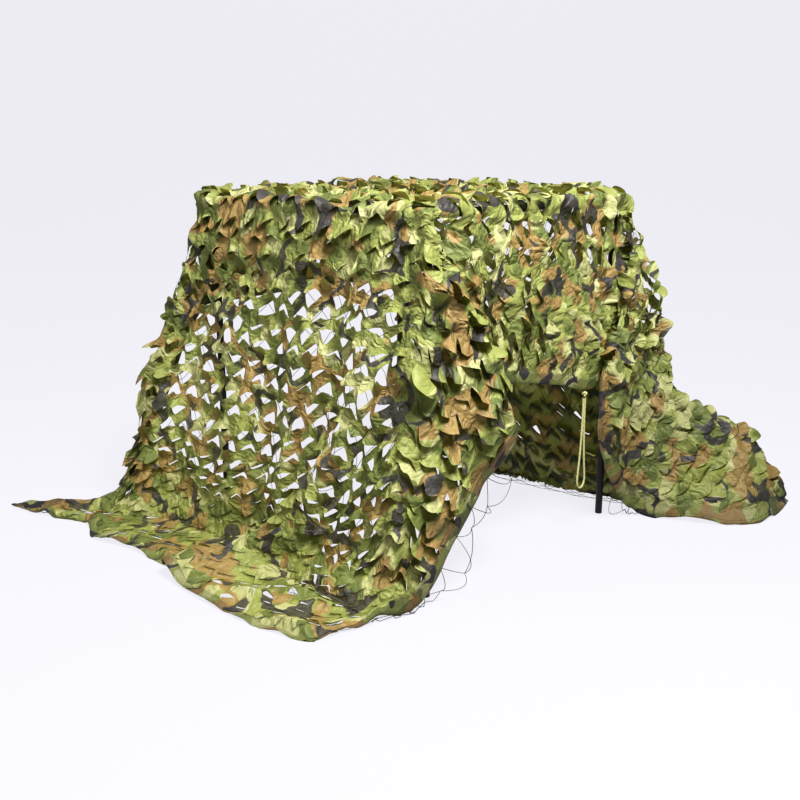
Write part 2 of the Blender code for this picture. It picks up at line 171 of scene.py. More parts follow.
BACK_CORNER = (
    Line(0, (-0.335, 0.368, 0.37), (-0.350, 0.395), (-0.400, 0.658)),
    Line(12.3, (-0.368, 0.378, 0.37), (-0.415, 0.430, 0.02), (-0.600, 0.640)),
    Line(18, (-0.380, 0.368, 0.40), (-0.415, 0.400, 0.14), (-0.450, 0.432)),
    Line(34, (-0.368, 0.348, 0.56), (-0.385, 0.358, 0.42), (-0.398, 0.365, 0.310)),
    Line(60, (-0.348, 0.330, 0.65), (-0.358, 0.332, 0.55), (-0.364, 0.332, 0.465)),
)
SHORT_SIDE = (
    Line(-0.3275, (-0.340, 0.318, 0.66), (-0.345, 0.312, 0.58), (-0.347, 0.305, 0.500)),
    Line(0.000, (-0.343, 0.000, 0.66), (-0.352, 0.000, 0.58), (-0.358, 0.000, 0.502)),
)
LEFT_CORNER = (
    Line(0, (-0.340, -0.318, 0.66), (-0.345, -0.315, 0.58), (-0.347, -0.310, 0.500)),
    Line(38, (-0.355, -0.332, 0.64), (-0.370, -0.335, 0.54), (-0.380, -0.338, 0.440)),
    Line(60, (-0.374, -0.350, 0.58), (-0.408, -0.368, 0.41), (-0.438, -0.378, 0.270)),
    Line(70, (-0.405, -0.374, 0.48), (-0.467, -0.411, 0.24), (-0.512, -0.432, 0.060)),
    Line(74, (-0.422, -0.395, 0.42), (-0.510, -0.455, 0.08), (-0.615, -0.462, 0.006)),
    Line(76.5, (-0.430, -0.410, 0.38), (-0.530, -0.500), (-0.743, -0.625)),
    Line(82, (-0.414, -0.410, 0.37), (-0.498, -0.496), (-0.625, -0.600)),
)
SECTIONS = (
    FRONT_END, FRONT_CORNER, DOOR_SIDE, RIGHT_CORNER, BACK_END, BACK_CORNER, SHORT_SIDE, LEFT_CORNER,
)

# ---------------------------------------------------------------- drape of the flat cloth


def turn_of_rim():
    """Where each side and corner starts, as a distance travelled round the rim, and the whole turn."""
    starts, total = [], 0.0
    for _ in range(4):
        starts.append(total)
        total += 2 * RIM
        starts.append(total)
        total += FAN_RADIUS * math.pi / 2
    return starts, total


STARTS, TURN = turn_of_rim()


def line_table():
    """Every hang line in order round the rim: its distance round the rim, and its three bends."""
    places, bends = [], []
    for index, (start, section) in enumerate(zip(STARTS, SECTIONS)):
        on_corner = index % 2 == 1
        for line in section:
            along = FAN_RADIUS * math.radians(line.place) if on_corner else line.place + RIM
            places.append(start + along)
            bends.append([(*point, 0.0)[:3] for point in (line.knee, line.foot, line.hem)])
    places, bends = np.array(places), np.array(bends)
    return np.concatenate([places - TURN, places, places + TURN]), np.concatenate([bends] * 3)


def gentle_slopes(rise):
    """Slopes at the knots of a cubic that never swings past its neighbours, from the rise of each span."""
    before, after = rise[:-1], rise[1:]
    turning = before * after <= 0
    total = np.where(turning, 1.0, before + after)
    inner = np.where(turning, 0.0, 2 * before * after / total)
    return np.concatenate([rise[:1], inner, rise[-1:]])


def cubic(t, width, start, end, slope, end_slope):
    return (
        start * (1 + 2 * t) * (1 - t) ** 2
        + slope * width * t * (1 - t) ** 2
        + end * t * t * (3 - 2 * t)
        + end_slope * width * t * t * (t - 1)
    )


def gentle_curve(at, knots, values):
    """The cubic through the values at the knots, read at many places."""
    step = np.diff(knots)
    shape = (-1,) + (1,) * (values.ndim - 1)
    slope = gentle_slopes(np.diff(values, axis=0) / step.reshape(shape))
    i = np.clip(np.searchsorted(knots, at) - 1, 0, len(step) - 1)
    t = ((at - knots[i]) / step[i]).reshape(shape)
    return cubic(t, step[i].reshape(shape), values[i], values[i + 1], slope[i], slope[i + 1])


def hang_curves(share, points):
    """Of many hang lines, each given by its four bends, the point at a share of its length."""
    legs = np.diff(points, axis=0)
    length = np.linalg.norm(legs, axis=2)
    run = np.concatenate([np.zeros((1, len(share))), np.cumsum(length, axis=0)])
    slope = gentle_slopes(legs / length[..., None])
    at = share * run[-1]
    i = (at > run[1]).astype(int) + (at > run[2])
    each = np.arange(len(share))
    width = length[i, each][:, None]
    t = (at - run[i, each])[:, None] / width
    return cubic(t, width, points[i, each], points[i + 1, each], slope[i, each], slope[i + 1, each])


def turn_at(x, y, dx, dy):
    """The distance round the rim of the hang line through each flat point."""
    fan = FAN_RADIUS
    front = np.where(dx == 0, STARTS[0] + x + RIM, STARTS[1] + fan * np.arctan2(dx, -dy))
    door = np.where(dy == 0, STARTS[2] + y + RIM, STARTS[3] + fan * np.arctan2(dy, dx))
    back = np.where(dx == 0, STARTS[4] + RIM - x, STARTS[5] + fan * np.arctan2(-dx, dy))
    short = np.where(dy == 0, STARTS[6] + RIM - y, STARTS[7] + fan * np.arctan2(-dy, -dx))
    return np.where((dy < 0) & (dx >= 0), front, np.where(dx > 0, door, np.where(dy > 0, back, short)))


def smooth_rise(value, low, high):
    t = np.clip((value - low) / (high - low), 0.0, 1.0)
    return t * t * (3 - 2 * t)


def top_height(x, y):
    """Height of the cloth over the frame's top, which sags between the rails."""
    ease = RIM - RIM_EASE
    edge = np.maximum(np.maximum(np.abs(x), np.abs(y)), ease)
    inside = np.maximum(0, 1 - (x / SAG_EDGE) ** 2) * np.maximum(0, 1 - (y / SAG_EDGE) ** 2)
    return HEIGHT + GAP + CLOTH / 2 - SAG * inside - RIM_DROP * (edge - ease) / RIM_EASE


def drape(x, y, table):
    """Where points of the flat cloth lie, measured from the middle of the frame."""
    cx, cy = np.clip(x, -RIM, RIM), np.clip(y, -RIM, RIM)
    dx, dy = x - cx, y - cy
    out = np.hypot(dx, dy)
    place = np.stack([cx, cy, top_height(cx, cy)], axis=1)
    hangs = out > 1e-9
    dx, dy, away = dx[hangs], dy[hangs], out[hangs]
    with np.errstate(divide="ignore"):
        reach_x = np.where(dx > 0, DOOR, SHORT) / np.abs(dx)
        reach_y = np.where(dy > 0, BACK, FRONT) / np.abs(dy)
    length = away * np.minimum(reach_x, reach_y)
    bends = gentle_curve(turn_at(x[hangs], y[hangs], dx, dy), *table)
    points = np.concatenate([place[hangs][None], bends.transpose(1, 0, 2)])
    at = hang_curves(np.minimum(away / length, 1.0), points)
    wave = 2 * math.pi * x[hangs] / PLEAT_PITCH
    fold = np.sin(wave) + 0.5 * np.sin(1.65 * wave + 1)
    fold = PLEAT_DEPTH * fold * smooth_rise(away, PLEAT_START, PLEAT_FULL) * smooth_rise(at[:, 2], 0, 0.10)
    at[:, 1] += np.where(dx == 0, np.sign(dy) * fold, 0.0)
    at[:, 2] = np.maximum(at[:, 2], CLOTH / 2)
    place[hangs] = at
    return place


def soften(grid, times):
    """A grid of points, each moved towards the mean of its neighbours, with the edges kept."""
    for _ in range(times):
        inner = grid[1:-1, 1:-1]
        around = grid[:-2, 1:-1] + grid[2:, 1:-1] + grid[1:-1, :-2] + grid[1:-1, 2:]
        grid = grid.copy()
        grid[1:-1, 1:-1] = (inner + around / 4) / 2
    return grid


def soft_noise(x, y, size, seed):
    """Smooth noise from -1 to 1 over the flat cloth, with bumps of about that size."""
    cells = np.random.default_rng(seed).uniform(-1, 1, (64, 64))
    u, v = x / size + 200, y / size + 200
    i, j = np.floor(u).astype(int), np.floor(v).astype(int)
    s, t = u - i, v - j
    s, t = s * s * (3 - 2 * s), t * t * (3 - 2 * t)
    low = cells[j % 64, i % 64] * (1 - s) + cells[j % 64, (i + 1) % 64] * s
    high = cells[(j + 1) % 64, i % 64] * (1 - s) + cells[(j + 1) % 64, (i + 1) % 64] * s
    return low * (1 - t) + high * t


class Grid:
    """Even rows and columns of places on the flat cloth, from its edges inwards by a margin."""

    def __init__(self, step, margin=0.0):
        wide, long = HIGH_X - LOW_X - 2 * margin, HIGH_Y - LOW_Y - 2 * margin
        self.xs = LOW_X + margin + np.linspace(0, wide, round(wide / step) + 1)
        self.ys = LOW_Y + margin + np.linspace(0, long, round(long / step) + 1)
        self.x, self.y = np.meshgrid(self.xs, self.ys)

    def read(self, grid, x, y):
        """A grid's value at flat points, between its four nearest points."""
        u = np.clip((x - self.xs[0]) / (self.xs[1] - self.xs[0]), 0, len(self.xs) - 1.001)
        v = np.clip((y - self.ys[0]) / (self.ys[1] - self.ys[0]), 0, len(self.ys) - 1.001)
        i, j = u.astype(int), v.astype(int)
        s, t = (u - i)[..., None], (v - j)[..., None]
        low = grid[j, i] * (1 - s) + grid[j, i + 1] * s
        high = grid[j + 1, i] * (1 - s) + grid[j + 1, i + 1] * s
        return low * (1 - t) + high * t


class Drape(Grid):
    """The draped cloth on a fine grid of the flat cloth, which every piece is laid on."""

    def __init__(self):
        super().__init__(DRAPE_STEP)
        x, y = self.x, self.y
        points = drape(x.ravel(), y.ravel(), line_table()).reshape(*x.shape, 3)
        self.points = soften(points, SOFTEN_POINTS) + MIDDLE + self.ruffles(points)
        over = np.gradient(self.points, axis=1)
        down = np.gradient(self.points, axis=0)
        facing = np.cross(over, down)
        facing /= np.linalg.norm(facing, axis=2, keepdims=True) + 1e-12
        facing = soften(facing, SOFTEN_FACING)
        self.facing = facing / (np.linalg.norm(facing, axis=2, keepdims=True) + 1e-12)

    def ruffles(self, points):
        """How far the hem curls up from the floor, in waves that fade inwards."""
        to_edge = np.minimum.reduce([self.x - LOW_X, HIGH_X - self.x, self.y - LOW_Y, HIGH_Y - self.y])
        near = (1 - smooth_rise(to_edge, 0.0, RUFFLE_REACH)) * (1 - smooth_rise(points[..., 2], 0.01, 0.06))
        wave = soft_noise(points[..., 0], points[..., 1], RUFFLE_SIZE, seed=71)
        return (RUFFLE * near * np.maximum(wave + 0.25, 0))[..., None] * np.array((0.0, 0.0, 1.0))

    def place(self, x, y, off=0.0):
        """Points at flat places, moved off the cloth by a distance, and never below the floor."""
        off = np.broadcast_to(off, np.shape(x))[..., None]
        at = self.read(self.points, x, y) + off * self.read(self.facing, x, y)
        at[..., 2] = np.maximum(at[..., 2], CLOTH / 2)
        return at


DRAPE = Drape()


class Pattern(Grid):
    """Where slits and print lie on the flat cloth, so that they are as even in its folds as elsewhere.

    Bunched cloth hides some of itself in its folds. The rows and columns of the pattern are let slide
    over the flat cloth until neighbours are about equally far apart on the draped one.
    """

    def __init__(self):
        coarse_step, coarse_times = SETTLE_COARSE
        fine_step, fine_times = SETTLE_FINE
        super().__init__(coarse_step, UNDER_TAPE)
        coarse = self.settle(np.stack([self.x, self.y], axis=-1), coarse_times)
        wide = Grid(coarse_step, UNDER_TAPE)
        super().__init__(fine_step, UNDER_TAPE)
        self.flat = self.settle(wide.read(coarse, self.x, self.y), fine_times)

    def settle(self, flat, times):
        """Lets the pattern's places slide over the flat cloth, with those on its edges kept there."""
        for _ in range(times):
            at = DRAPE.place(flat[..., 0], flat[..., 1])
            pull, total = np.zeros_like(flat), np.zeros(flat.shape[:2] + (1,))
            for near, far in (
                (np.s_[:, :-1], np.s_[:, 1:]),
                (np.s_[:-1, :], np.s_[1:, :]),
                (np.s_[:-1, :-1], np.s_[1:, 1:]),
                (np.s_[:-1, 1:], np.s_[1:, :-1]),
            ):
                draped = np.linalg.norm(at[far] - at[near], axis=-1, keepdims=True)
                cut = np.linalg.norm(flat[far] - flat[near], axis=-1, keepdims=True)
                stretch = ((draped + SETTLE_LEAST) / (cut + SETTLE_LEAST)) ** SETTLE_POWER
                pull[near] += stretch * flat[far]
                pull[far] += stretch * flat[near]
                total[near] += stretch
                total[far] += stretch
            moved = (flat + pull / total) / 2
            moved[[0, -1], :, 1] = flat[[0, -1], :, 1]
            moved[:, [0, -1], 0] = flat[:, [0, -1], 0]
            flat = moved
        return flat

    def flat_place(self, x, y):
        at = self.read(self.flat, x, y)
        return at[..., 0], at[..., 1]


PATTERN = Pattern()


def creases(at, size, seed, folds=6):
    """Height of crumpled stiff cloth at points in space: plain facets between sharp creases."""
    draw = np.random.default_rng(seed)
    bent = at + 0.25 * size * np.sin(at[..., [1, 2, 0]] * 2 * math.pi / (1.7 * size) + (0, 2, 4))
    height = np.zeros(at.shape[:-1])
    for _ in range(folds):
        way = draw.normal(size=3)
        way /= np.linalg.norm(way) * 2 * size * draw.uniform(0.75, 1.4)
        phase = bent @ way + draw.uniform()
        height += 4 * np.abs(phase - np.floor(phase + 0.5)) - 1
    return height / math.sqrt(folds)


# ---------------------------------------------------------------- pieces and materials


class Wire:
    """A shader's output socket on which ordinary arithmetic adds Math nodes."""

    def __init__(self, nodes, socket):
        self.nodes, self.socket = nodes, socket

    def __add__(self, other):
        return self.nodes.math("ADD", self, other)

    __radd__ = __add__

    def __mul__(self, other):
        return self.nodes.math("MULTIPLY", self, other)

    __rmul__ = __mul__

    def __sub__(self, other):
        return self.nodes.math("SUBTRACT", self, other)

    def __rsub__(self, other):
        return self.nodes.math("SUBTRACT", other, self)

    def __abs__(self):
        return self.nodes.math("ABSOLUTE", self, 0.0)

    def over(self, level, width):
        """0 where this is under the level and 1 where it is over it, with an edge of that width."""
        settings = {"interpolation_type": "SMOOTHSTEP"}
        values = {"Value": self, "From Min": level - width / 2, "From Max": level + width / 2}
        return self.nodes.node("ShaderNodeMapRange", settings, values, "Result")


class Finish:
    """One material, with its shader and the nodes that feed it."""

    def __init__(self, name, roughness=0.6, metallic=0.0, specular=0.5):
        self.material = bpy.data.materials.new(name)
        self.material.use_nodes = True
        self.tree = self.material.node_tree
        self.shader = self.tree.nodes["Principled BSDF"]
        self.shader.inputs["Roughness"].default_value = roughness
        self.shader.inputs["Metallic"].default_value = metallic
        self.shader.inputs["Specular IOR Level"].default_value = specular

    def feed(self, socket, value):
        if isinstance(value, Wire):
            self.tree.links.new(value.socket, socket)
        else:
            socket.default_value = value

    def node(self, kind, settings, values, out=0):
        """Adds a node with its settings and inputs, and gives one of its outputs."""
        made = self.tree.nodes.new(kind)
        for key, value in settings.items():
            setattr(made, key, value)
        for key, value in values.items():
            self.feed(made.inputs[key], value)
        return Wire(self, made.outputs[out])

    def math(self, operation, first, second):
        return self.node("ShaderNodeMath", {"operation": operation}, {0: first, 1: second})

    def mix(self, factor, first, second):
        """A colour between two colours."""
        colours = [c if isinstance(c, Wire) else (*c[:3], 1.0) for c in (first, second)]
        values = {0: factor, 6: colours[0], 7: colours[1]}
        return self.node("ShaderNodeMix", {"data_type": "RGBA"}, values, 2)

    def noise(self, at, scale, detail=1.0, out="Fac", roughness=0.5):
        values = {"Vector": at, "Scale": scale, "Detail": detail, "Roughness": roughness}
        return self.node("ShaderNodeTexNoise", {}, values, out)

    def facets(self, at, scale):
        """Height of creased cloth: plain facets between sharp ridges."""
        settings = {"feature": "DISTANCE_TO_EDGE"}
        return self.node("ShaderNodeTexVoronoi", settings, {"Vector": at, "Scale": scale}, "Distance")

    def shifted(self, at, shift):
        return self.node("ShaderNodeVectorMath", {"operation": "ADD"}, {0: at, 1: shift})

    def colour(self, value):
        self.feed(self.shader.inputs["Base Color"], value)

    def rough(self, value):
        self.feed(self.shader.inputs["Roughness"], value)

    def bump(self, height, distance, strength=1.0):
        values = {"Height": height, "Distance": distance, "Strength": strength}
        self.feed(self.shader.inputs["Normal"], self.node("ShaderNodeBump", {}, values))


def print_place(finish):
    """Where the smooth cloth lies, in metres, as each cloth piece keeps it for its print."""
    return finish.node("ShaderNodeAttribute", {"attribute_name": "print_place"}, {}, "Vector")


def new_mesh(name, points, faces, material, smooth=True):
    """A mesh object from arrays of points and of triangles or four-sided faces."""
    mesh = bpy.data.meshes.new(name)
    points, faces = np.asarray(points, float), np.asarray(faces)
    sides = faces.shape[1]
    mesh.vertices.add(len(points))
    mesh.vertices.foreach_set("co", points.ravel())
    mesh.loops.add(faces.size)
    mesh.loops.foreach_set("vertex_index", faces.ravel())
    mesh.polygons.add(len(faces))
    mesh.polygons.foreach_set("loop_start", np.arange(len(faces)) * sides)
    mesh.polygons.foreach_set("loop_total", np.full(len(faces), sides))
    mesh.update(calc_edges=True)
    mesh.validate()
    if smooth:
        mesh.shade_smooth()
    mesh.materials.append(material)
    obj = bpy.data.objects.new(name, mesh)
    bpy.context.scene.collection.objects.link(obj)
    return obj


def keep_values(obj, name, values):
    """Keeps a number or a place for each point, which a material reads by that name."""
    kind, key = ("FLOAT", "value") if np.ndim(values) == 1 else ("FLOAT_VECTOR", "vector")
    layer = obj.data.attributes.new(name, kind, "POINT")
    layer.data.foreach_set(key, np.asarray(values, np.float32).ravel())


def grid_faces(index):
    """Four-sided faces of a grid of point numbers."""
    return np.stack([index[:-1, :-1], index[:-1, 1:], index[1:, 1:], index[1:, :-1]], axis=-1).reshape(-1, 4)


def sweep(route, radius, sides, twist=0.0, lobes=0, depth=0.0, closed=False):
    """Points and faces of a tube along a route, plain or with turning lobes as a laid rope has."""
    route = np.asarray(route, float)
    count = len(route)
    ahead = np.roll(route, -1, axis=0) - np.roll(route, 1, axis=0)
    if not closed:
        ahead[0], ahead[-1] = route[1] - route[0], route[-1] - route[-2]
    ahead /= np.linalg.norm(ahead, axis=1, keepdims=True) + 1e-12
    side = np.cross(ahead[0], (0.31, 0.52, 0.79))
    sides_out = []
    for direction in ahead:
        side = side - direction * (side @ direction)
        side = side / (np.linalg.norm(side) + 1e-12)
        sides_out.append(side)
    across = np.array(sides_out)
    up = np.cross(ahead, across)
    angle = np.linspace(0, 2 * math.pi, sides, endpoint=False)[None, :]
    turn = twist * np.arange(count)[:, None]
    size = radius * (1 - depth * (0.5 - 0.5 * np.cos(lobes * (angle + turn)))) if lobes else radius
    ring = np.broadcast_to(size, (count, sides))[..., None] * (
        np.cos(angle)[..., None] * across[:, None] + np.sin(angle)[..., None] * up[:, None]
    )
    points = (route[:, None] + ring).reshape(-1, 3)
    rows = count if closed else count - 1
    i = np.arange(rows)[:, None] * sides
    j = ((np.arange(rows) + 1) % count)[:, None] * sides
    a = np.arange(sides)[None, :]
    b = (a + 1) % sides
    faces = np.stack([i + a, i + b, j + b, j + a], axis=-1).reshape(-1, 4)
    return points, faces


def joined(parts):
    """Several (points, faces) as one."""
    points, faces, start = [], [], 0
    for some, form in parts:
        points.append(some)
        faces.append(form + start)
        start += len(some)
    return np.concatenate(points), np.concatenate(faces)


# ---------------------------------------------------------------- what a user would change


class NetSizes(bpy.types.PropertyGroup):
    slit_pitch: FloatProperty(
        name="Slit pitch", description="Distance between slits in a row", default=0.060, unit="LENGTH"
    )
    row_pitch: FloatProperty(
        name="Row pitch", description="Distance between rows of slits", default=0.031, unit="LENGTH"
    )
    mesh_cell: FloatProperty(
        name="Mesh cell", description="Side of a cell of the mesh behind the cloth", default=0.055,
        unit="LENGTH",
    )
    thread: FloatProperty(
        name="Thread", description="Diameter of the mesh's thread", default=0.0010, unit="LENGTH"
    )


class NetColours(bpy.types.PropertyGroup):
    green: FloatVectorProperty(
        name="Green", description="Ground colour of the print", default=(0.228, 0.248, 0.083), subtype="COLOR"
    )
    light: FloatVectorProperty(
        name="Light green", description="Lighter patches of the ground", default=(0.345, 0.345, 0.170),
        subtype="COLOR",
    )
    deep: FloatVectorProperty(
        name="Deep green", description="Darker patches of the ground", default=(0.125, 0.148, 0.050),
        subtype="COLOR",
    )
    brown: FloatVectorProperty(
        name="Brown", description="Brown patches", default=(0.250, 0.172, 0.072), subtype="COLOR"
    )
    charcoal: FloatVectorProperty(
        name="Charcoal", description="Dark branches", default=(0.045, 0.040, 0.048), subtype="COLOR"
    )
    rope: FloatVectorProperty(
        name="Rope", description="Colour of the tie loop", default=(0.42, 0.41, 0.20), subtype="COLOR"
    )


class StageLook(bpy.types.PropertyGroup):
    floor: FloatVectorProperty(
        name="Floor", description="Colour of floor and backdrop", default=(0.045, 0.0446, 0.0471),
        subtype="COLOR",
    )
    sky: FloatProperty(name="Sky", description="Strength of the light from all round", default=0.04)
    lamp: FloatProperty(name="Lamp", description="Power of the large lamp", default=165.0, unit="POWER")
    glow: FloatProperty(name="Glow", description="How much the floor shines by itself", default=13.1)


# ---------------------------------------------------------------- materials


PATCH_EDGE = 0.012  # how soft the edges of the print's patches are, as a share of the noise
SHEEN_THROUGH = (0.36, 0.36, 0.05, 1.0)  # colour of the light that the cloth lets through
SHARE_THROUGH = 0.22  # how much of the cloth's light comes from behind it
TUCK_SHADOW_COLOUR, TUCK_SHADOW_SHARE = (0.010, 0.013, 0.006), 0.85  # colour and share of the painted shadow line beside a lip on top


def printed_cloth(name, darker=1.0):
    """Woodland print of three greens, brown patches and dark branches, and the height of its creases."""
    look = bpy.context.scene.net_colours
    green, light, deep, brown, charcoal = (
        tuple(darker * c for c in colour)
        for colour in (look.green, look.light, look.deep, look.brown, look.charcoal)
    )
    finish = Finish(name, roughness=0.55, specular=0.35)
    at = print_place(finish)
    swirl = finish.noise(at, 26.0, 1.0, "Color")
    swirl = finish.node("ShaderNodeVectorMath", {"operation": "SCALE"}, {0: swirl, "Scale": 0.03})
    warped = finish.node("ShaderNodeVectorMath", {"operation": "ADD"}, {0: at, 1: swirl})
    pale = finish.noise(finish.shifted(warped, (3.1, 7.7, 0)), 19.0, 0.5).over(0.535, PATCH_EDGE)
    shade = finish.noise(finish.shifted(warped, (6.3, 1.2, 0)), 17.0, 0.5).over(0.55, PATCH_EDGE)
    earth = finish.noise(finish.shifted(warped, (9.4, 2.3, 0)), 17.0, 0.5).over(0.570, PATCH_EDGE)
    branch = finish.noise(finish.shifted(warped, (5.2, 4.9, 0)), 14.0, 0.0)
    patch = finish.noise(finish.shifted(warped, (1.7, 8.6, 0)), 16.0, 0.0)
    dark = (0.06 - abs(branch - 0.5)).over(0.0, 0.008) * patch.over(0.52, 0.02)
    colour = finish.mix(pale, green, light)
    colour = finish.mix(shade, colour, deep)
    colour = finish.mix(earth, colour, brown)
    colour = finish.mix(dark, colour, charcoal)
    wear = finish.noise(at, 110.0, 2.0)
    finish.colour(finish.mix(wear * 0.07, colour, light))
    broad = finish.facets(warped, 34.0)
    fine = finish.facets(finish.shifted(warped, (2.7, 6.1, 0)), 80.0)
    relief = (broad + 0.4 * fine + 0.12 * finish.noise(at, 160.0, 2.0)) * 0.016
    return finish, relief


def net_material():
    """The print on crumpled cloth that lets some light through, with a painted shadow line beside a lip on
    top and painted shade over the heap.
    """
    finish, relief = printed_cloth("net")
    # Painted shadow: this attribute darkens the print beside a lip lying on top of another, and a little over
    # the whole heap.
    tuck_shadow = finish.node("ShaderNodeAttribute", {"attribute_name": "tuck_shadow"}, {}, "Fac")
    colour = finish.shader.inputs["Base Color"].links[0].from_socket
    finish.colour(finish.mix(tuck_shadow * TUCK_SHADOW_SHARE, Wire(finish, colour), TUCK_SHADOW_COLOUR))
    finish.bump(relief, 1.0, 0.65)
    glow = finish.node("ShaderNodeBsdfTranslucent", {}, {"Color": SHEEN_THROUGH}, "BSDF")
    shader = Wire(finish, finish.shader.outputs["BSDF"])
    both = finish.node("ShaderNodeMixShader", {}, {0: SHARE_THROUGH, 1: shader, 2: glow})
    finish.tree.links.new(both.socket, finish.tree.nodes["Material Output"].inputs["Surface"])
    return finish.material


TAPE_RIB = 0.0016  # from rib to rib of the woven tape
STITCH = 0.0052  # from stitch to stitch
STITCH_WIDE = 0.0005  # half a stitch's width
STITCH_ROWS = (0.004, 0.020)  # from the tape's outer fold


def tape_material():
    """The same print, darker, on a ribbed tape with a row of stitches near each edge."""
    finish, relief = printed_cloth("binding", darker=0.55)
    at = finish.node("ShaderNodeAttribute", {"attribute_name": "tape_place"}, {}, "Vector")
    along, across = (finish.node("ShaderNodeSeparateXYZ", {}, {0: at}, axis) for axis in "XY")
    rib = finish.math("SINE", along * (2 * math.pi / TAPE_RIB), 0.0)
    stitch = finish.math("SINE", along * (2 * math.pi / STITCH), 0.0).over(0.1, 0.3)
    rows = [(STITCH_WIDE - abs(across - place)).over(0.0, 0.0003) for place in STITCH_ROWS]
    thread = stitch * (rows[0] + rows[1])
    colour = finish.shader.inputs["Base Color"].links[0].from_socket
    finish.colour(finish.mix(thread * 0.7, Wire(finish, colour), (0.030, 0.036, 0.022)))
    finish.bump(relief * 0.25 + rib * 0.00012 + thread * 0.0007, 1.0, 1.0)
    return finish.material


def thread_material():
    """Thin dark twine, a little uneven in colour."""
    finish = Finish("mesh_thread", roughness=0.7)
    at = print_place(finish)
    finish.colour(finish.mix(finish.noise(at, 60.0), (0.012, 0.012, 0.013), (0.05, 0.05, 0.045)))
    return finish.material


def rope_material():
    """Pale olive rope with fine fibres."""
    look = bpy.context.scene.net_colours
    finish = Finish("rope", roughness=0.8)
    at = finish.node("ShaderNodeTexCoord", {}, {}, "Object")
    fibres = finish.noise(at, 900.0, 2.0)
    finish.colour(finish.mix(fibres, [0.6 * c for c in look.rope], look.rope))
    finish.bump(fibres, 0.0008, 0.6)
    return finish.material


def paint_material():
    """Satin black paint with a little dust."""
    finish = Finish("frame_paint", roughness=0.35, specular=0.5)
    at = finish.node("ShaderNodeTexCoord", {}, {}, "Object")
    dust = finish.noise(at, 90.0, 3.0)
    finish.colour(finish.mix(dust, (0.006, 0.006, 0.008), (0.022, 0.021, 0.027)))
    finish.rough(dust * 0.2 + 0.28)
    finish.bump(finish.noise(at, 1400.0, 2.0), 0.0002, 0.4)
    return finish.material


def joint_material():
    """Matt black moulded plastic."""
    finish = Finish("joint_plastic", roughness=0.55)
    at = finish.node("ShaderNodeTexCoord", {}, {}, "Object")
    finish.colour(finish.mix(finish.noise(at, 120.0, 2.0), (0.010, 0.010, 0.011), (0.028, 0.027, 0.030)))
    finish.bump(finish.noise(at, 1800.0, 1.0), 0.0002, 0.5)
    return finish.material


# ---------------------------------------------------------------- incised cloth

# The height of a slit's line along it, as shares of its half length and of its height, for a row
# whose leaves point up. The next row has it turned by half a turn. Past its ends the cloth is whole,
# and the line runs out to the plain row at SLIT_TAIL.
SLIT_TAIL = 1.35
SLIT_LINE = np.array([
    (-SLIT_TAIL, 0.0), (-1.0, -0.25), (-0.25, 0.45), (0.30, 1.0),
    (0.68, 0.35), (1.0, -0.60), (SLIT_TAIL, 0.0),
])
LEAF_TOP = 0.22  # where along the slit it opens most
SLIT_REACH = 0.365  # half of a slit's length, as a share of the slit pitch
SLIT_RISE = 0.012  # height of a slit's line
MOVED_ALONG = 0.06  # how far a slit may be moved along its row, as a share of the slit pitch
MOVED_UP, TILTED = 0.004, 0.006  # how far a slit may be moved off its row, and tilted
REACHES, RISES = (0.88, 1.08), (0.7, 1.3)  # ranges of a slit's length and height, as shares of the usual
GAPES, LEAVES_OUT, OTHERS_OUT = (0.15, 1.85), (0.15, 1.3), (-0.7, 0.6)  # the same of its gape and its lips
DOMED, CORNERED, DOME_POWER = 0.15, 0.85, 2.4  # how round and how pointed an opened slit is
POINTS_FROM, POINTS_TO = (-0.80, -0.15, 0.45), (-0.50, 0.15, 0.75)  # where along it its three points may be
HEIGHTS_FROM, HEIGHTS_TO = (0.65, 0.85, 0.5), (1.0, 1.15, 1.0)  # and how high
COLUMNS = 18  # columns of faces from slit to slit
LEVELS = np.array([0.0, 0.09, 0.24, 0.5, 0.76, 0.91, 1.0])  # rows of points between two rows of slits
LEAF_OUT = 0.017  # how far a leaf's edge stands off the cloth
OTHER_OUT = 0.010  # how far the slit's other edge stands off or sinks
SHINGLE_OUT, SHINGLE_IN = 0.95, 0.55  # shares of that for the edge on top and the one under, of shut slits
MOST_ABOVE = 0.030  # how far leaves may stand above the frame
LIFTED = 0.010  # how far leaves are lifted where the cloth rests on the floor or the frame
TUCK_SHADOW_REACH = 0.007  # how far the painted shadow line beside a lip on top reaches
CREASE = math.radians(24.0)  # the cloth shows an edge where it bends more than this from face to face
EDGE_CALM = 0.030  # the cloth lies flatter this near the tape
OPEN_ROWS = 0.28  # how much further apart rows are where the net hangs open

# How wide slits gape in each region, and how much less everywhere, in the heap and on the floor
GAPE_FRONT, GAPE_BACK, GAPE_DOOR, GAPE_TOP = 0.0257, 0.020, 0.0155, 0.0145
SHUT_ALL, SHUT_HEAP, SHUT_LOW = 0.010, 0.007, 0.004
LOOSE = (-0.004, 0.006)  # gapes between which lips go from lying as shingles to standing free
SHUT_FULLY = 0.003  # how far a slit is shut before the painted shadow line beside it is at its darkest

# Distances past the rim between which slits of each region start to gape and are shut again
FRONT_OPENS, FRONT_SHUTS = (0.04, 0.20), (0.46, 0.76)
BACK_OPENS, BACK_SHUTS = (-0.02, 0.06), (0.15, 0.30)
DOOR_OPENS, DOOR_SHUTS = (-0.02, 0.04), (0.10, 0.22)
FRONT_TO_DOOR, FRONT_TO_SHORT = (0.0, 0.06), (0.02, 0.20)  # where the front end's gaping fades sideways
HEAP_OUT = (0.05, 0.20)  # where the heap starts past the rim
HEAP_BACK = (0.45, 0.65)  # and how far back from the middle of the side
BY_CORNER = (0.15, 0.35)  # distances from the middle of a side between which a corner starts

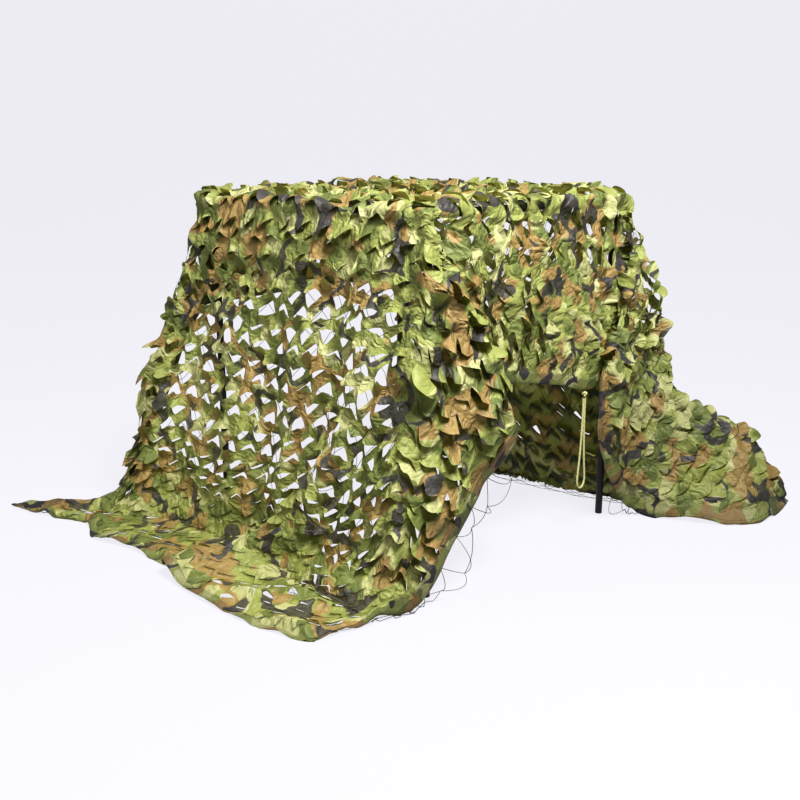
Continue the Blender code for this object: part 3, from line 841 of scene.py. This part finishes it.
# How lively leaves are, and how much more so at corners and on the top, and less on the door side
LIVELY, LIVELY_CORNER, LIVELY_TOP, CALM_DOOR = 0.80, 0.40, 0.15, 0.30

# Crumples of the cloth: their height, how much less it is near the floor, their size and their seed
CRUMPLES = ((0.0095, 0.003, 0.055, 3), (0.0034, 0.0018, 0.025, 13))

MOST_GAPE, LESS_GAPE = 0.6, 0.4  # shares of the gape by which a slit's leaf and its other edge draw back
DRAWN_BACK = 0.2  # how much an edge also draws back where it stands off
LIP_FADE = 1.6  # how fast a lip's stand-off fades towards the next row
HEAP_PAINTED_SHADE = 0.25  # painted shade over the whole heap, as a share of the painted shadow line's darkness
SWAY_Y, SWAY_X = (0.014, 0.15, 51), (0.010, 0.12, 52)  # height, size and seed of the rows' slow waves
SWAY_REACH = 0.12  # those waves fade this near the tape


def hanging_front(x, y):
    """1 where the front end hangs open, and 0 elsewhere."""
    down = -y - RIM
    within = (1 - smooth_rise(x - RIM, *FRONT_TO_DOOR)) * (1 - smooth_rise(-RIM - x, *FRONT_TO_SHORT))
    return smooth_rise(down, *FRONT_OPENS) * (1 - smooth_rise(down, *FRONT_SHUTS)) * within


def heaped(x, y):
    """1 where the door side's far end lies heaped on the floor, and 0 elsewhere."""
    return smooth_rise(x - RIM, *HEAP_OUT) * smooth_rise(y, *HEAP_BACK)


def opening(x, y):
    """How wide the slits gape: most where the front end hangs. Under 0 they are shut."""
    back = y - RIM
    hanging_back = smooth_rise(back, *BACK_OPENS) * (1 - smooth_rise(back, *BACK_SHUTS))
    door = smooth_rise(x - RIM, *DOOR_OPENS) * (1 - smooth_rise(x - RIM, *DOOR_SHUTS))
    top = (np.abs(x) < RIM) & (np.abs(y) < RIM)
    wide = GAPE_FRONT * hanging_front(x, y) + GAPE_BACK * hanging_back + GAPE_DOOR * door + GAPE_TOP * top
    return wide - SHUT_HEAP * heaped(x, y) - SHUT_ALL


def liveliness(x, y):
    """How much the leaves curl and the cloth crumples: most where it is bunched at the corners."""
    corner = smooth_rise(np.abs(x) - RIM, 0.0, 0.10) * smooth_rise(np.abs(y), *BY_CORNER)
    door = smooth_rise(x - RIM, 0.02, 0.08) * (1 - smooth_rise(np.abs(y), *BY_CORNER))
    inside = smooth_rise(RIM - np.abs(y), 0.0, 0.05)
    return LIVELY + LIVELY_CORNER * corner + LIVELY_TOP * inside - CALM_DOOR * door


def crumple(at):
    """Folds of the cloth itself, from broad ones to sharp small ones."""
    low = 1 - smooth_rise(at[..., 2], 0.15, 0.40)
    return sum((height - less * low) * creases(at, size, seed) for height, less, size, seed in CRUMPLES)


def slit_places(xs, row_ys, sizes, draw):
    """Every slit as its row, its middle along the row and its half length."""
    pitch = sizes.slit_pitch
    for r in range(1, len(row_ys) - 1):
        centre = xs[0] + pitch * (0.5 if r % 2 else 1.0)
        while centre < xs[-1] - pitch / 2:
            moved = draw.uniform(-MOVED_ALONG, MOVED_ALONG) * pitch
            yield r, centre + moved, pitch * SLIT_REACH * draw.uniform(*REACHES)
            centre += pitch


def slit_rows(xs, row_ys, sizes, draw):
    """Of each row of slits and column: height of its line, gape, both lips' stand-off, whether it is cut."""
    shape = (len(row_ys), len(xs))
    line, gape, low_lip, high_lip = (np.zeros(shape) for _ in range(4))
    cut = np.zeros(shape, bool)
    for r, at, half in slit_places(xs, row_ys, sizes, draw):
        turned = -1 if r % 2 else 1
        rise = SLIT_RISE * draw.uniform(*RISES)
        wide, out, back = draw.uniform(*GAPES), draw.uniform(*LEAVES_OUT), draw.uniform(*OTHERS_OUT)
        near = np.flatnonzero(np.abs(xs - at) < SLIT_TAIL * half)
        u = turned * (xs[near] - at) / half
        along, height = SLIT_LINE.T
        curve = gentle_curve(u, along, height) + np.interp(u, along, height)
        shift, tilt = draw.uniform(-MOVED_UP, MOVED_UP), draw.uniform(-TILTED, TILTED)
        line[r, near] += turned * rise * curve / 2 + (shift + tilt * u) * (1 - (u / SLIT_TAIL) ** 2) ** 2
        s = np.where(u < LEAF_TOP, (u - LEAF_TOP) / (1 + LEAF_TOP), (u - LEAF_TOP) / (1 - LEAF_TOP))
        dome = np.maximum(0, 1 - np.abs(s) ** DOME_POWER)
        bends = draw.uniform(POINTS_FROM, POINTS_TO)
        corners = np.interp(s, (-1, *bends, 1), (0, *draw.uniform(HEIGHTS_FROM, HEIGHTS_TO), 0))
        open_here = (DOMED * dome + CORNERED * corners) * (np.abs(u) < 1)
        gape[r, near] += wide * open_here
        leaf, other = (low_lip, high_lip) if turned == 1 else (high_lip, low_lip)
        leaf[r, near] += LEAF_OUT * out * open_here
        other[r, near] += OTHER_OUT * back * open_here
        cut[r, near] |= np.abs(u) < 1
    return line, gape, low_lip, high_lip, cut


def shingled(low_lip, high_lip, loose, spread, back):
    """The lips' stand-off, where those of shut slits lie as shingles do, the one nearer the rim on top."""
    most = spread * np.maximum(np.abs(low_lip), np.abs(high_lip))
    over, under = SHINGLE_OUT * most, -SHINGLE_IN * most
    low = loose * low_lip + (1 - loose) * np.where(back, over, under)
    high = loose * high_lip + (1 - loose) * np.where(back, under, over)
    return low, high


def row_places(low, high, sizes):
    """Where the rows of slits lie: further apart where the net hangs open."""
    rows = [low]
    while rows[-1] < high:
        rows.append(rows[-1] + sizes.row_pitch * (1 + OPEN_ROWS * float(hanging_front(0.0, rows[-1]))))
    rows = np.array(rows)
    return low + (rows - low) * (high - low) / (rows[-1] - low)


def incised_net(sizes):
    """The whole cloth's points, the same uncurled, the painted shadow of each, and where rows are cut."""
    draw = np.random.default_rng(seed=11)
    low_x, high_x = LOW_X + UNDER_TAPE, HIGH_X - UNDER_TAPE
    low_y, high_y = LOW_Y + UNDER_TAPE, HIGH_Y - UNDER_TAPE
    xs = np.linspace(low_x, high_x, round((high_x - low_x) / sizes.slit_pitch * COLUMNS) + 1)
    row_ys = row_places(low_y, high_y, sizes)
    line, gape, low_lip, high_lip, cut = slit_rows(xs, row_ys, sizes, draw)
    x = np.broadcast_to(xs, line.shape)
    y = np.broadcast_to(row_ys[:, None], line.shape)
    cloth_x, cloth_y = PATTERN.flat_place(x, y)
    heap = heaped(cloth_x, cloth_y)
    low = 1 - smooth_rise(DRAPE.place(cloth_x, cloth_y)[..., 2], 0.02, 0.12)
    wide = opening(cloth_x, cloth_y) - SHUT_LOW * low
    loose = smooth_rise(wide, *LOOSE)
    gape = gape * wide
    spread = 1 - np.maximum(0.2 * heap, 0.85 * low)
    low_lip, high_lip = shingled(low_lip, high_lip, loose, spread, cloth_y > 0)
    turned = (np.arange(len(row_ys)) % 2 == 1)[:, None]
    drop = np.where(turned, LESS_GAPE, MOST_GAPE) * gape + DRAWN_BACK * loose * np.abs(low_lip)
    lift = np.where(turned, MOST_GAPE, LESS_GAPE) * gape + DRAWN_BACK * loose * np.abs(high_lip)
    t = LEVELS[None, None, :]
    bottom, top = (line + lift)[:-1, :, None], (line - drop)[1:, :, None]
    flat_bottom, flat_top = line[:-1, :, None], line[1:, :, None]
    low_row, high_row = row_ys[:-1, None, None], row_ys[1:, None, None]
    flat_y = (1 - t) * (low_row + flat_bottom) + t * (high_row + flat_top)
    at_y = (1 - t) * (low_row + bottom) + t * (high_row + top)
    back = (cloth_y > 0)[:-1, :, None]
    over_edge = np.where(back, low_row + (line - drop)[:-1, :, None], high_row + (line + lift)[1:, :, None])
    # Painted shadow: a dark line in the print's colour beside the edge of the lip on top of a shut slit,
    # where its groove lies in shade.
    shut = cut * np.clip(-gape / SHUT_FULLY, 0, 1)
    shut = np.where(back, shut[:-1, :, None], shut[1:, :, None])
    tuck_shadow = shut * (1 - smooth_rise(np.where(back, at_y - over_edge, over_edge - at_y), 0.0, TUCK_SHADOW_REACH))
    # Painted shade: the whole heap is darkened by a share of that line's darkness.
    tuck_shadow = np.maximum(tuck_shadow, HEAP_PAINTED_SHADE * heap[:-1, :, None])
    at_x = uncut_x = np.broadcast_to(x[:-1, :, None], at_y.shape)
    from_edge = np.minimum.reduce([at_x - low_x, high_x - at_x, at_y - low_y, high_y - at_y])
    calm = smooth_rise(from_edge, 0, EDGE_CALM)
    off = low_lip[1:, :, None] * t**LIP_FADE + high_lip[:-1, :, None] * (1 - t) ** LIP_FADE
    sway = smooth_rise(from_edge, 0, SWAY_REACH)
    sway_y, *wave_y = SWAY_Y
    sway_x, *wave_x = SWAY_X
    at_y = at_y + sway_y * sway * soft_noise(at_x, flat_y, *wave_y)
    at_x = at_x + sway_x * sway * soft_noise(at_x, flat_y, *wave_x)
    at_x, at_y = PATTERN.flat_place(at_x, at_y)
    smooth = DRAPE.place(at_x, at_y)
    off = (off + crumple(smooth)) * liveliness(at_x, at_y)
    height = smooth[..., 2]
    on_top = smooth_rise(height, HEIGHT - 0.03, HEIGHT - 0.005)
    resting = np.maximum(1 - smooth_rise(height, 0.01, 0.08), on_top)
    off = (off + LIFTED * resting) * calm
    points = DRAPE.place(at_x, at_y, off)
    points[..., 2] = np.minimum(points[..., 2], HEIGHT + MOST_ABOVE)
    uncurled = DRAPE.place(*PATTERN.flat_place(uncut_x, flat_y))
    return points, uncurled, tuck_shadow, cut


def row_points(cut, levels):
    """A number for each point of each row of cells. Rows share their points where the cloth is whole."""
    rows, columns = cut.shape[0] - 1, cut.shape[1]
    index = np.arange(rows * columns * levels).reshape(rows, columns, levels)
    for r in range(1, rows):
        index[r, :, 0] = np.where(cut[r], index[r, :, 0], index[r - 1, :, -1])
    return index


def add_net_part(name, points, uncurled, tuck_shadow, index, first, last, material):
    """One part of the net, from row to row."""
    cells = index[first:last].transpose(0, 2, 1)
    faces = np.concatenate([grid_faces(cells[r]) for r in range(len(cells))])
    used, faces = np.unique(faces, return_inverse=True)
    faces = faces.reshape(-1, 4)
    obj = new_mesh(name, points.reshape(-1, 3)[used], faces, material)
    obj.data.set_sharp_from_angle(angle=CREASE)
    keep_values(obj, "print_place", uncurled.reshape(-1, 3)[used])
    # The painted shadow, which the net's material reads.
    keep_values(obj, "tuck_shadow", tuck_shadow.ravel()[used])
    return obj


# ---------------------------------------------------------------- operators


class NET_OT_camera(bpy.types.Operator):
    """Sets up the camera at the height and angle from which the net is looked at"""

    bl_idname = "net.camera"
    bl_label = "Camera"

    def execute(self, context):
        data = bpy.data.cameras.new("camera")
        data.lens = VIEW_LENS
        data.sensor_width = VIEW_SENSOR
        camera = bpy.data.objects.new("camera", data)
        camera.location = MIDDLE + VIEW_PLACE
        camera.rotation_euler = (math.radians(VIEW_TILT), 0.0, math.radians(VIEW_TURN))
        context.scene.collection.objects.link(camera)
        context.scene.camera = camera
        return {"FINISHED"}


STRANDS = 3
ROPE_STEP = 0.0022  # between rings of points along the rope
KNOT_SIZE = 0.0019  # of the trefoil that the knot's rope follows
KNOT_ROPE = 0.0052  # diameter of the rope where it is pulled tight


def loop_route(x, y, z):
    """Down one strand, round the bottom and up the other: half a drop shape and its mirror image."""
    neck = LOOP_NECK / LOOP_WIDTH
    shape = ((neck, 0.0), (neck, 0.1), (0.30, 0.35), (0.62, 0.66), (1.0, 0.88), (0.9, 0.95), (0.5, 0.99))
    half = LOOP_WIDTH / 2
    down = [(x, y - half * side, z - LOOP_DROP * fall) for side, fall in shape]
    up = [(x, 2 * y - py, pz) for _, py, pz in reversed(down)]
    return np.array(down + [(x, y, z - LOOP_DROP)] + up)


def smooth_route(points, spacing):
    """Points a given distance apart on a smooth curve through the route."""
    ends = np.vstack([2 * points[0] - points[1], points, 2 * points[-1] - points[-2]])
    fine = []
    for p0, p1, p2, p3 in zip(ends, ends[1:], ends[2:], ends[3:]):
        for t in np.linspace(0, 1, 12, endpoint=False):
            bend = 2 * p0 - 5 * p1 + 4 * p2 - p3
            twist = 3 * p1 - p0 - 3 * p2 + p3
            fine.append(0.5 * (2 * p1 + (p2 - p0) * t + bend * t * t + twist * t**3))
    fine = np.array([*fine, points[-1]])
    run = np.concatenate([[0.0], np.cumsum(np.linalg.norm(np.diff(fine, axis=0), axis=1))])
    at = np.linspace(0, run[-1], max(2, round(run[-1] / spacing)) + 1)
    return np.stack([np.interp(at, run, fine[:, axis]) for axis in range(3)], axis=1)


class NET_OT_tie(bpy.types.Operator):
    """Lays the rope loop and its knot where the part has its tie"""

    bl_idname = "net.tie"
    bl_label = "Tie loop"

    def execute(self, context):
        rope = rope_material()
        low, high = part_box("tie_knot")
        x, y, z = (low + high) / 2
        route = smooth_route(loop_route(x, y, z - KNOT / 2 - GAP), ROPE_STEP)
        points, faces = sweep(route, ROPE / 2, 12, twist=0.42, lobes=STRANDS, depth=0.30)
        loop = new_mesh("rope_loop", points, faces, rope)
        knot = new_mesh("rope_knot", *self.knot(x, y, z), rope)
        for piece, node in ((loop, "tie_loop"), (knot, "tie_knot")):
            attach(piece, "root")
            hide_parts(node)
        return {"FINISHED"}

    def knot(self, x, y, z):
        """An overhand knot pulled tight, as a rope along a trefoil."""
        t = np.linspace(0, 2 * math.pi, 90, endpoint=False)
        route = KNOT_SIZE * np.stack([
            1.15 * np.sin(3 * t), np.sin(t) + 1.7 * np.sin(2 * t), np.cos(t) - 1.7 * np.cos(2 * t),
        ], axis=1)
        route = route + (x, y, z)
        return sweep(route, KNOT_ROPE / 2, 10, twist=0.3, lobes=STRANDS, depth=0.25, closed=True)


class NET_OT_cloth(bpy.types.Operator):
    """Builds the incised cloth in three parts: the front end, the middle and the back end"""

    bl_idname = "net.cloth"
    bl_label = "Incised cloth"

    def execute(self, context):
        material = net_material()
        points, uncurled, tuck_shadow, cut = incised_net(context.scene.net_sizes)
        index = row_points(cut, len(LEVELS))
        rows = row_places(LOW_Y + UNDER_TAPE, HIGH_Y - UNDER_TAPE, context.scene.net_sizes)
        front_rows, back_rows = np.searchsorted(rows, (-RIM, RIM))
        parts = (
            ("cloth_front_end", 0, front_rows),
            ("cloth_middle", front_rows, back_rows),
            ("cloth_back_end", back_rows, len(rows) - 1),
        )
        for name, first, last in parts:
            piece = add_net_part(name, points, uncurled, tuck_shadow, index, first, last, material)
            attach(piece, "root")
            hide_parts("net")
            rows[last] - rows[first]
        return {"FINISHED"}


# The tape's upper half from its inner edge to the outer fold: how far in from the fold, as shares of
# its width, and how far off the cloth, in millimetres. The lower half mirrors it.
TAPE_IN = (1.0, 0.72, 0.4, 0.12, 0.0)
TAPE_OFF = (1.2, 1.5, 1.5, 1.3, 0.7)
TAPE_STEP = 0.006  # between rows of points along the tape
TAPE_WAVE = 0.0022  # height of its waves
TAPE_LIFT = 0.001  # how far it is lifted where it lies on the floor


class NET_OT_tape(bpy.types.Operator):
    """Sews the woven tape round the four edges"""

    bl_idname = "net.tape"
    bl_label = "Edge tape"

    def execute(self, context):
        material = tape_material()
        for side in SIDES:
            piece = self.strip(side, material)
            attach(piece, "root")
            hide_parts("binding_" + side)
        return {"FINISHED"}

    def strip(self, side, material):
        """A tape folded over one edge, as a flat tube with a round outer fold."""
        across_side = side in ("front", "back")
        low, high = (LOW_X, HIGH_X) if across_side else (LOW_Y, HIGH_Y)
        runs = np.linspace(low, high, round((high - low) / TAPE_STEP) + 1)
        inward = np.array([*TAPE_IN, *reversed(TAPE_IN)]) * TAPE
        lift = np.array([*TAPE_OFF, *(-off for off in reversed(TAPE_OFF))]) * 0.001
        run, depth = np.meshgrid(runs, inward)
        off = np.broadcast_to(lift[:, None], run.shape)
        edge = {"front": LOW_Y, "back": HIGH_Y, "door": HIGH_X, "short": LOW_X}[side]
        inner = edge + depth if side in ("front", "short") else edge - depth
        x, y = (run, inner) if across_side else (inner, run)
        wave = TAPE_WAVE * soft_noise(run, 0.3 * depth, 0.030, seed=21)
        height = DRAPE.read(DRAPE.points, x, y)[..., 2]
        points = DRAPE.place(x, y, off + wave + TAPE_LIFT * (height < 0.01))
        index = np.arange(run.size).reshape(run.shape)
        index = np.vstack([index, index[:1]])
        faces = grid_faces(index)
        obj = new_mesh("tape_" + side, points.reshape(-1, 3), faces, material)
        keep_values(obj, "print_place", DRAPE.place(x, y))
        keep_values(obj, "tape_place", np.stack([run, depth, 0 * run], axis=-1))
        return obj


# The mesh sticks out past the door-side hem between these flat places, in a direction, and this far
FRINGES = (
    (-1.170, -0.615, (0.02, 0.80, -0.60), 0.052),
    (0.800, 0.990, (0.10, -0.75, -0.65), 0.014),
)
FRINGE_CELL = 0.062  # from one of its knots to the next along the hem
BEHIND = 0.004  # how far the mesh hangs behind the cloth, on the whole
THREAD_STEP = 0.009  # between points along a thread, counted across the net
THREAD_MARGIN = 0.01  # how far from the cloth's edge threads end


class NET_OT_mesh(bpy.types.Operator):
    """Hangs the thin knotted mesh behind the cloth"""

    bl_idname = "net.mesh"
    bl_label = "Knotted mesh"

    def execute(self, context):
        sizes = context.scene.net_sizes
        material = thread_material()
        parts, places = [], []
        spacing = sizes.mesh_cell * math.sqrt(2)
        for turned in (1, -1):
            start = math.floor((LOW_X + min(turned * LOW_Y, turned * HIGH_Y)) / spacing)
            end = math.ceil((HIGH_X + max(turned * LOW_Y, turned * HIGH_Y)) / spacing)
            for k in range(start, end + 1):
                route = self.thread(k * spacing, turned)
                if len(route) < 3:
                    continue
                x, y = route[:, 0], route[:, 1]
                off = -BEHIND + 0.003 * soft_noise(x, y, 0.05, seed=31)
                parts.append(sweep(DRAPE.place(x, y, off), sizes.thread / 2, 3))
                places.append(np.repeat(DRAPE.place(x, y), 3, axis=0))
        for start, end, way, reach in FRINGES:
            for route in self.fringe(start, end, np.array(way), reach):
                parts.append(sweep(route, 0.6 * sizes.thread, 4))
                places.append(np.repeat(route, 4, axis=0))
        points, faces = joined(parts)
        piece = new_mesh("backing_mesh", points, faces, material)
        keep_values(piece, "print_place", np.concatenate(places))
        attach(piece, "root")
        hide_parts("net")
        return {"FINISHED"}

    def fringe(self, start, end, way, reach):
        """Slack threads of the edge cells: from the hem to a knot and back, and from knot to knot."""
        draw = np.random.default_rng(seed=7)
        count = round((end - start) / FRINGE_CELL)
        at = np.linspace(start, end, 2 * count + 1)
        hem = DRAPE.place(np.full(len(at), HIGH_X - 0.004), at)
        far = reach * draw.uniform(0.65, 1.25, (count, 1))
        knots = hem[1::2] + far * (way + draw.normal(0, 0.15, (count, 3)))
        pairs = [*zip(hem[::2], knots), *zip(knots, hem[2::2]), *zip(knots, knots[1:])]
        t = np.linspace(0, 1, 11)[:, None]
        for first, last in pairs:
            bow = 0.25 * np.linalg.norm(last - first) * (way * (1, 1, 1.4) + draw.normal(0, 0.5, 3))
            route = first + (last - first) * t + 4 * t * (1 - t) * bow
            route[:, 2] = np.maximum(route[:, 2], CLOTH / 2)
            yield route

    def thread(self, total, turned):
        """Flat places along the line where x plus or minus y has that total."""
        x = np.arange(LOW_X + THREAD_MARGIN, HIGH_X - THREAD_MARGIN, THREAD_STEP)
        y = turned * (total - x)
        inside = (y > LOW_Y + THREAD_MARGIN) & (y < HIGH_Y - THREAD_MARGIN)
        x, y = x[inside], y[inside]
        wander = 0.006 * soft_noise(x, y, 0.04, seed=33)
        return np.column_stack([x + wander, y + turned * wander])


class NET_OT_frame(bpy.types.Operator):
    """Gives the tubes their satin black paint and the corner joints their moulded plastic"""

    bl_idname = "net.frame"
    bl_label = "Frame finish"

    def execute(self, context):
        paint, plastic = paint_material(), joint_material()
        for name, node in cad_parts.items():
            if name.startswith(("leg_", "rail_")):
                node.material_slots[0].material = paint
            elif name.startswith("joint_"):
                node.material_slots[0].material = plastic
        return {"FINISHED"}


# The floor and its backdrop, measured from the middle of the frame, away from the camera and across
FLOOR_NEAR, FLOOR_SIDE = -6.0, 9.0
BEND_START, BEND_RADIUS, BACKDROP_TOP = 4.0, 2.5, 8.0

# Each lamp's share of the power and its side, and how far right, away from the camera and up it stands
LAMPS = (
    ("key", 1.0, 0.9, (0.55, -1.7, 2.55)),
    ("fill", 0.15, 1.2, (-2.6, -1.0, 1.8)),
)
LAMP_AIM = (0, 0, 0.35)


class NET_OT_stage(bpy.types.Operator):
    """Lays a plain pale floor with a curved backdrop, and lights it softly"""

    bl_idname = "net.stage"
    bl_label = "Floor and light"

    def execute(self, context):
        look = context.scene.stage_look
        finish = Finish("floor", roughness=0.9, specular=0.1)
        at = finish.node("ShaderNodeTexCoord", {}, {}, "Object")
        shade = [0.97 * c for c in look.floor]
        finish.colour(finish.mix(finish.noise(at, 0.8, 1.0), shade, look.floor))
        finish.shader.inputs["Emission Color"].default_value = (*look.floor, 1.0)
        finish.shader.inputs["Emission Strength"].default_value = look.glow
        view = math.radians(VIEW_TURN)
        away = np.array([-math.sin(view), math.cos(view), 0.0])
        across = np.array([math.cos(view), math.sin(view), 0.0])
        turn = np.linspace(0, math.pi / 2, 24)
        bend = [
            (BEND_START + BEND_RADIUS * math.sin(a), BEND_RADIUS - BEND_RADIUS * math.cos(a)) for a in turn
        ]
        profile = [(FLOOR_NEAR, 0.0), *bend, (BEND_START + BEND_RADIUS, BACKDROP_TOP)]
        sides = (-FLOOR_SIDE, FLOOR_SIDE)
        rows = [[away * d + across * s + (0, 0, h) + MIDDLE for s in sides] for d, h in profile]
        points = np.array(rows).reshape(-1, 3)
        index = np.arange(len(points)).reshape(len(rows), 2)
        new_mesh("floor", points, grid_faces(index), finish.material)
        world = bpy.data.worlds.new("sky")
        world.use_nodes = True
        ground = world.node_tree.nodes["Background"]
        ground.inputs["Color"].default_value = (0.97, 0.98, 1.0, 1.0)
        ground.inputs["Strength"].default_value = look.sky
        context.scene.world = world
        for name, share, size, (right, beyond, up) in LAMPS:
            self.lamp(name, share * look.lamp, size, MIDDLE + right * across + beyond * away + (0, 0, up))
        context.scene.view_settings.view_transform = "Standard"
        context.scene.view_settings.look = "High Contrast"
        return {"FINISHED"}

    def lamp(self, name, power, size, place):
        """A large square lamp that faces the middle of the net."""
        data = bpy.data.lights.new(name, "AREA")
        data.energy = power
        data.size = size
        lamp = bpy.data.objects.new(name, data)
        bpy.context.scene.collection.objects.link(lamp)
        lamp.location = place
        aim = MIDDLE + LAMP_AIM - place
        lamp.rotation_euler = (
            math.atan2(math.hypot(aim[0], aim[1]), -aim[2]), 0.0, math.atan2(aim[1], aim[0]) - math.pi / 2,
        )


class NET_PT_panel(bpy.types.Panel):
    """Sizes, colours and the steps that build the net"""

    bl_label = "Camouflage Net"
    bl_idname = "NET_PT_panel"
    bl_space_type = "VIEW_3D"
    bl_region_type = "UI"
    bl_category = "Camouflage Net"

    def draw(self, context):
        for group in (context.scene.net_sizes, context.scene.net_colours, context.scene.stage_look):
            box = self.layout.box()
            for name in type(group).__annotations__:
                box.prop(group, name)
        for step in STEPS:
            self.layout.operator(step.bl_idname)


GROUPS = {"net_sizes": NetSizes, "net_colours": NetColours, "stage_look": StageLook}
STEPS = (NET_OT_camera, NET_OT_tie, NET_OT_cloth, NET_OT_tape, NET_OT_mesh, NET_OT_frame, NET_OT_stage)


def register():
    for cls in (*GROUPS.values(), *STEPS, NET_PT_panel):
        bpy.utils.register_class(cls)
    for name, group in GROUPS.items():
        setattr(bpy.types.Scene, name, PointerProperty(type=group))


def unregister():
    for name in GROUPS:
        delattr(bpy.types.Scene, name)
    for cls in reversed((*GROUPS.values(), *STEPS, NET_PT_panel)):
        bpy.utils.unregister_class(cls)


def main():
    register()
    bpy.ops.net.camera()
    bpy.ops.net.tie()
    bpy.ops.net.cloth()
    bpy.ops.net.tape()
    bpy.ops.net.mesh()
    bpy.ops.net.frame()
    bpy.ops.net.stage()


if __name__ == "__main__":
    main()
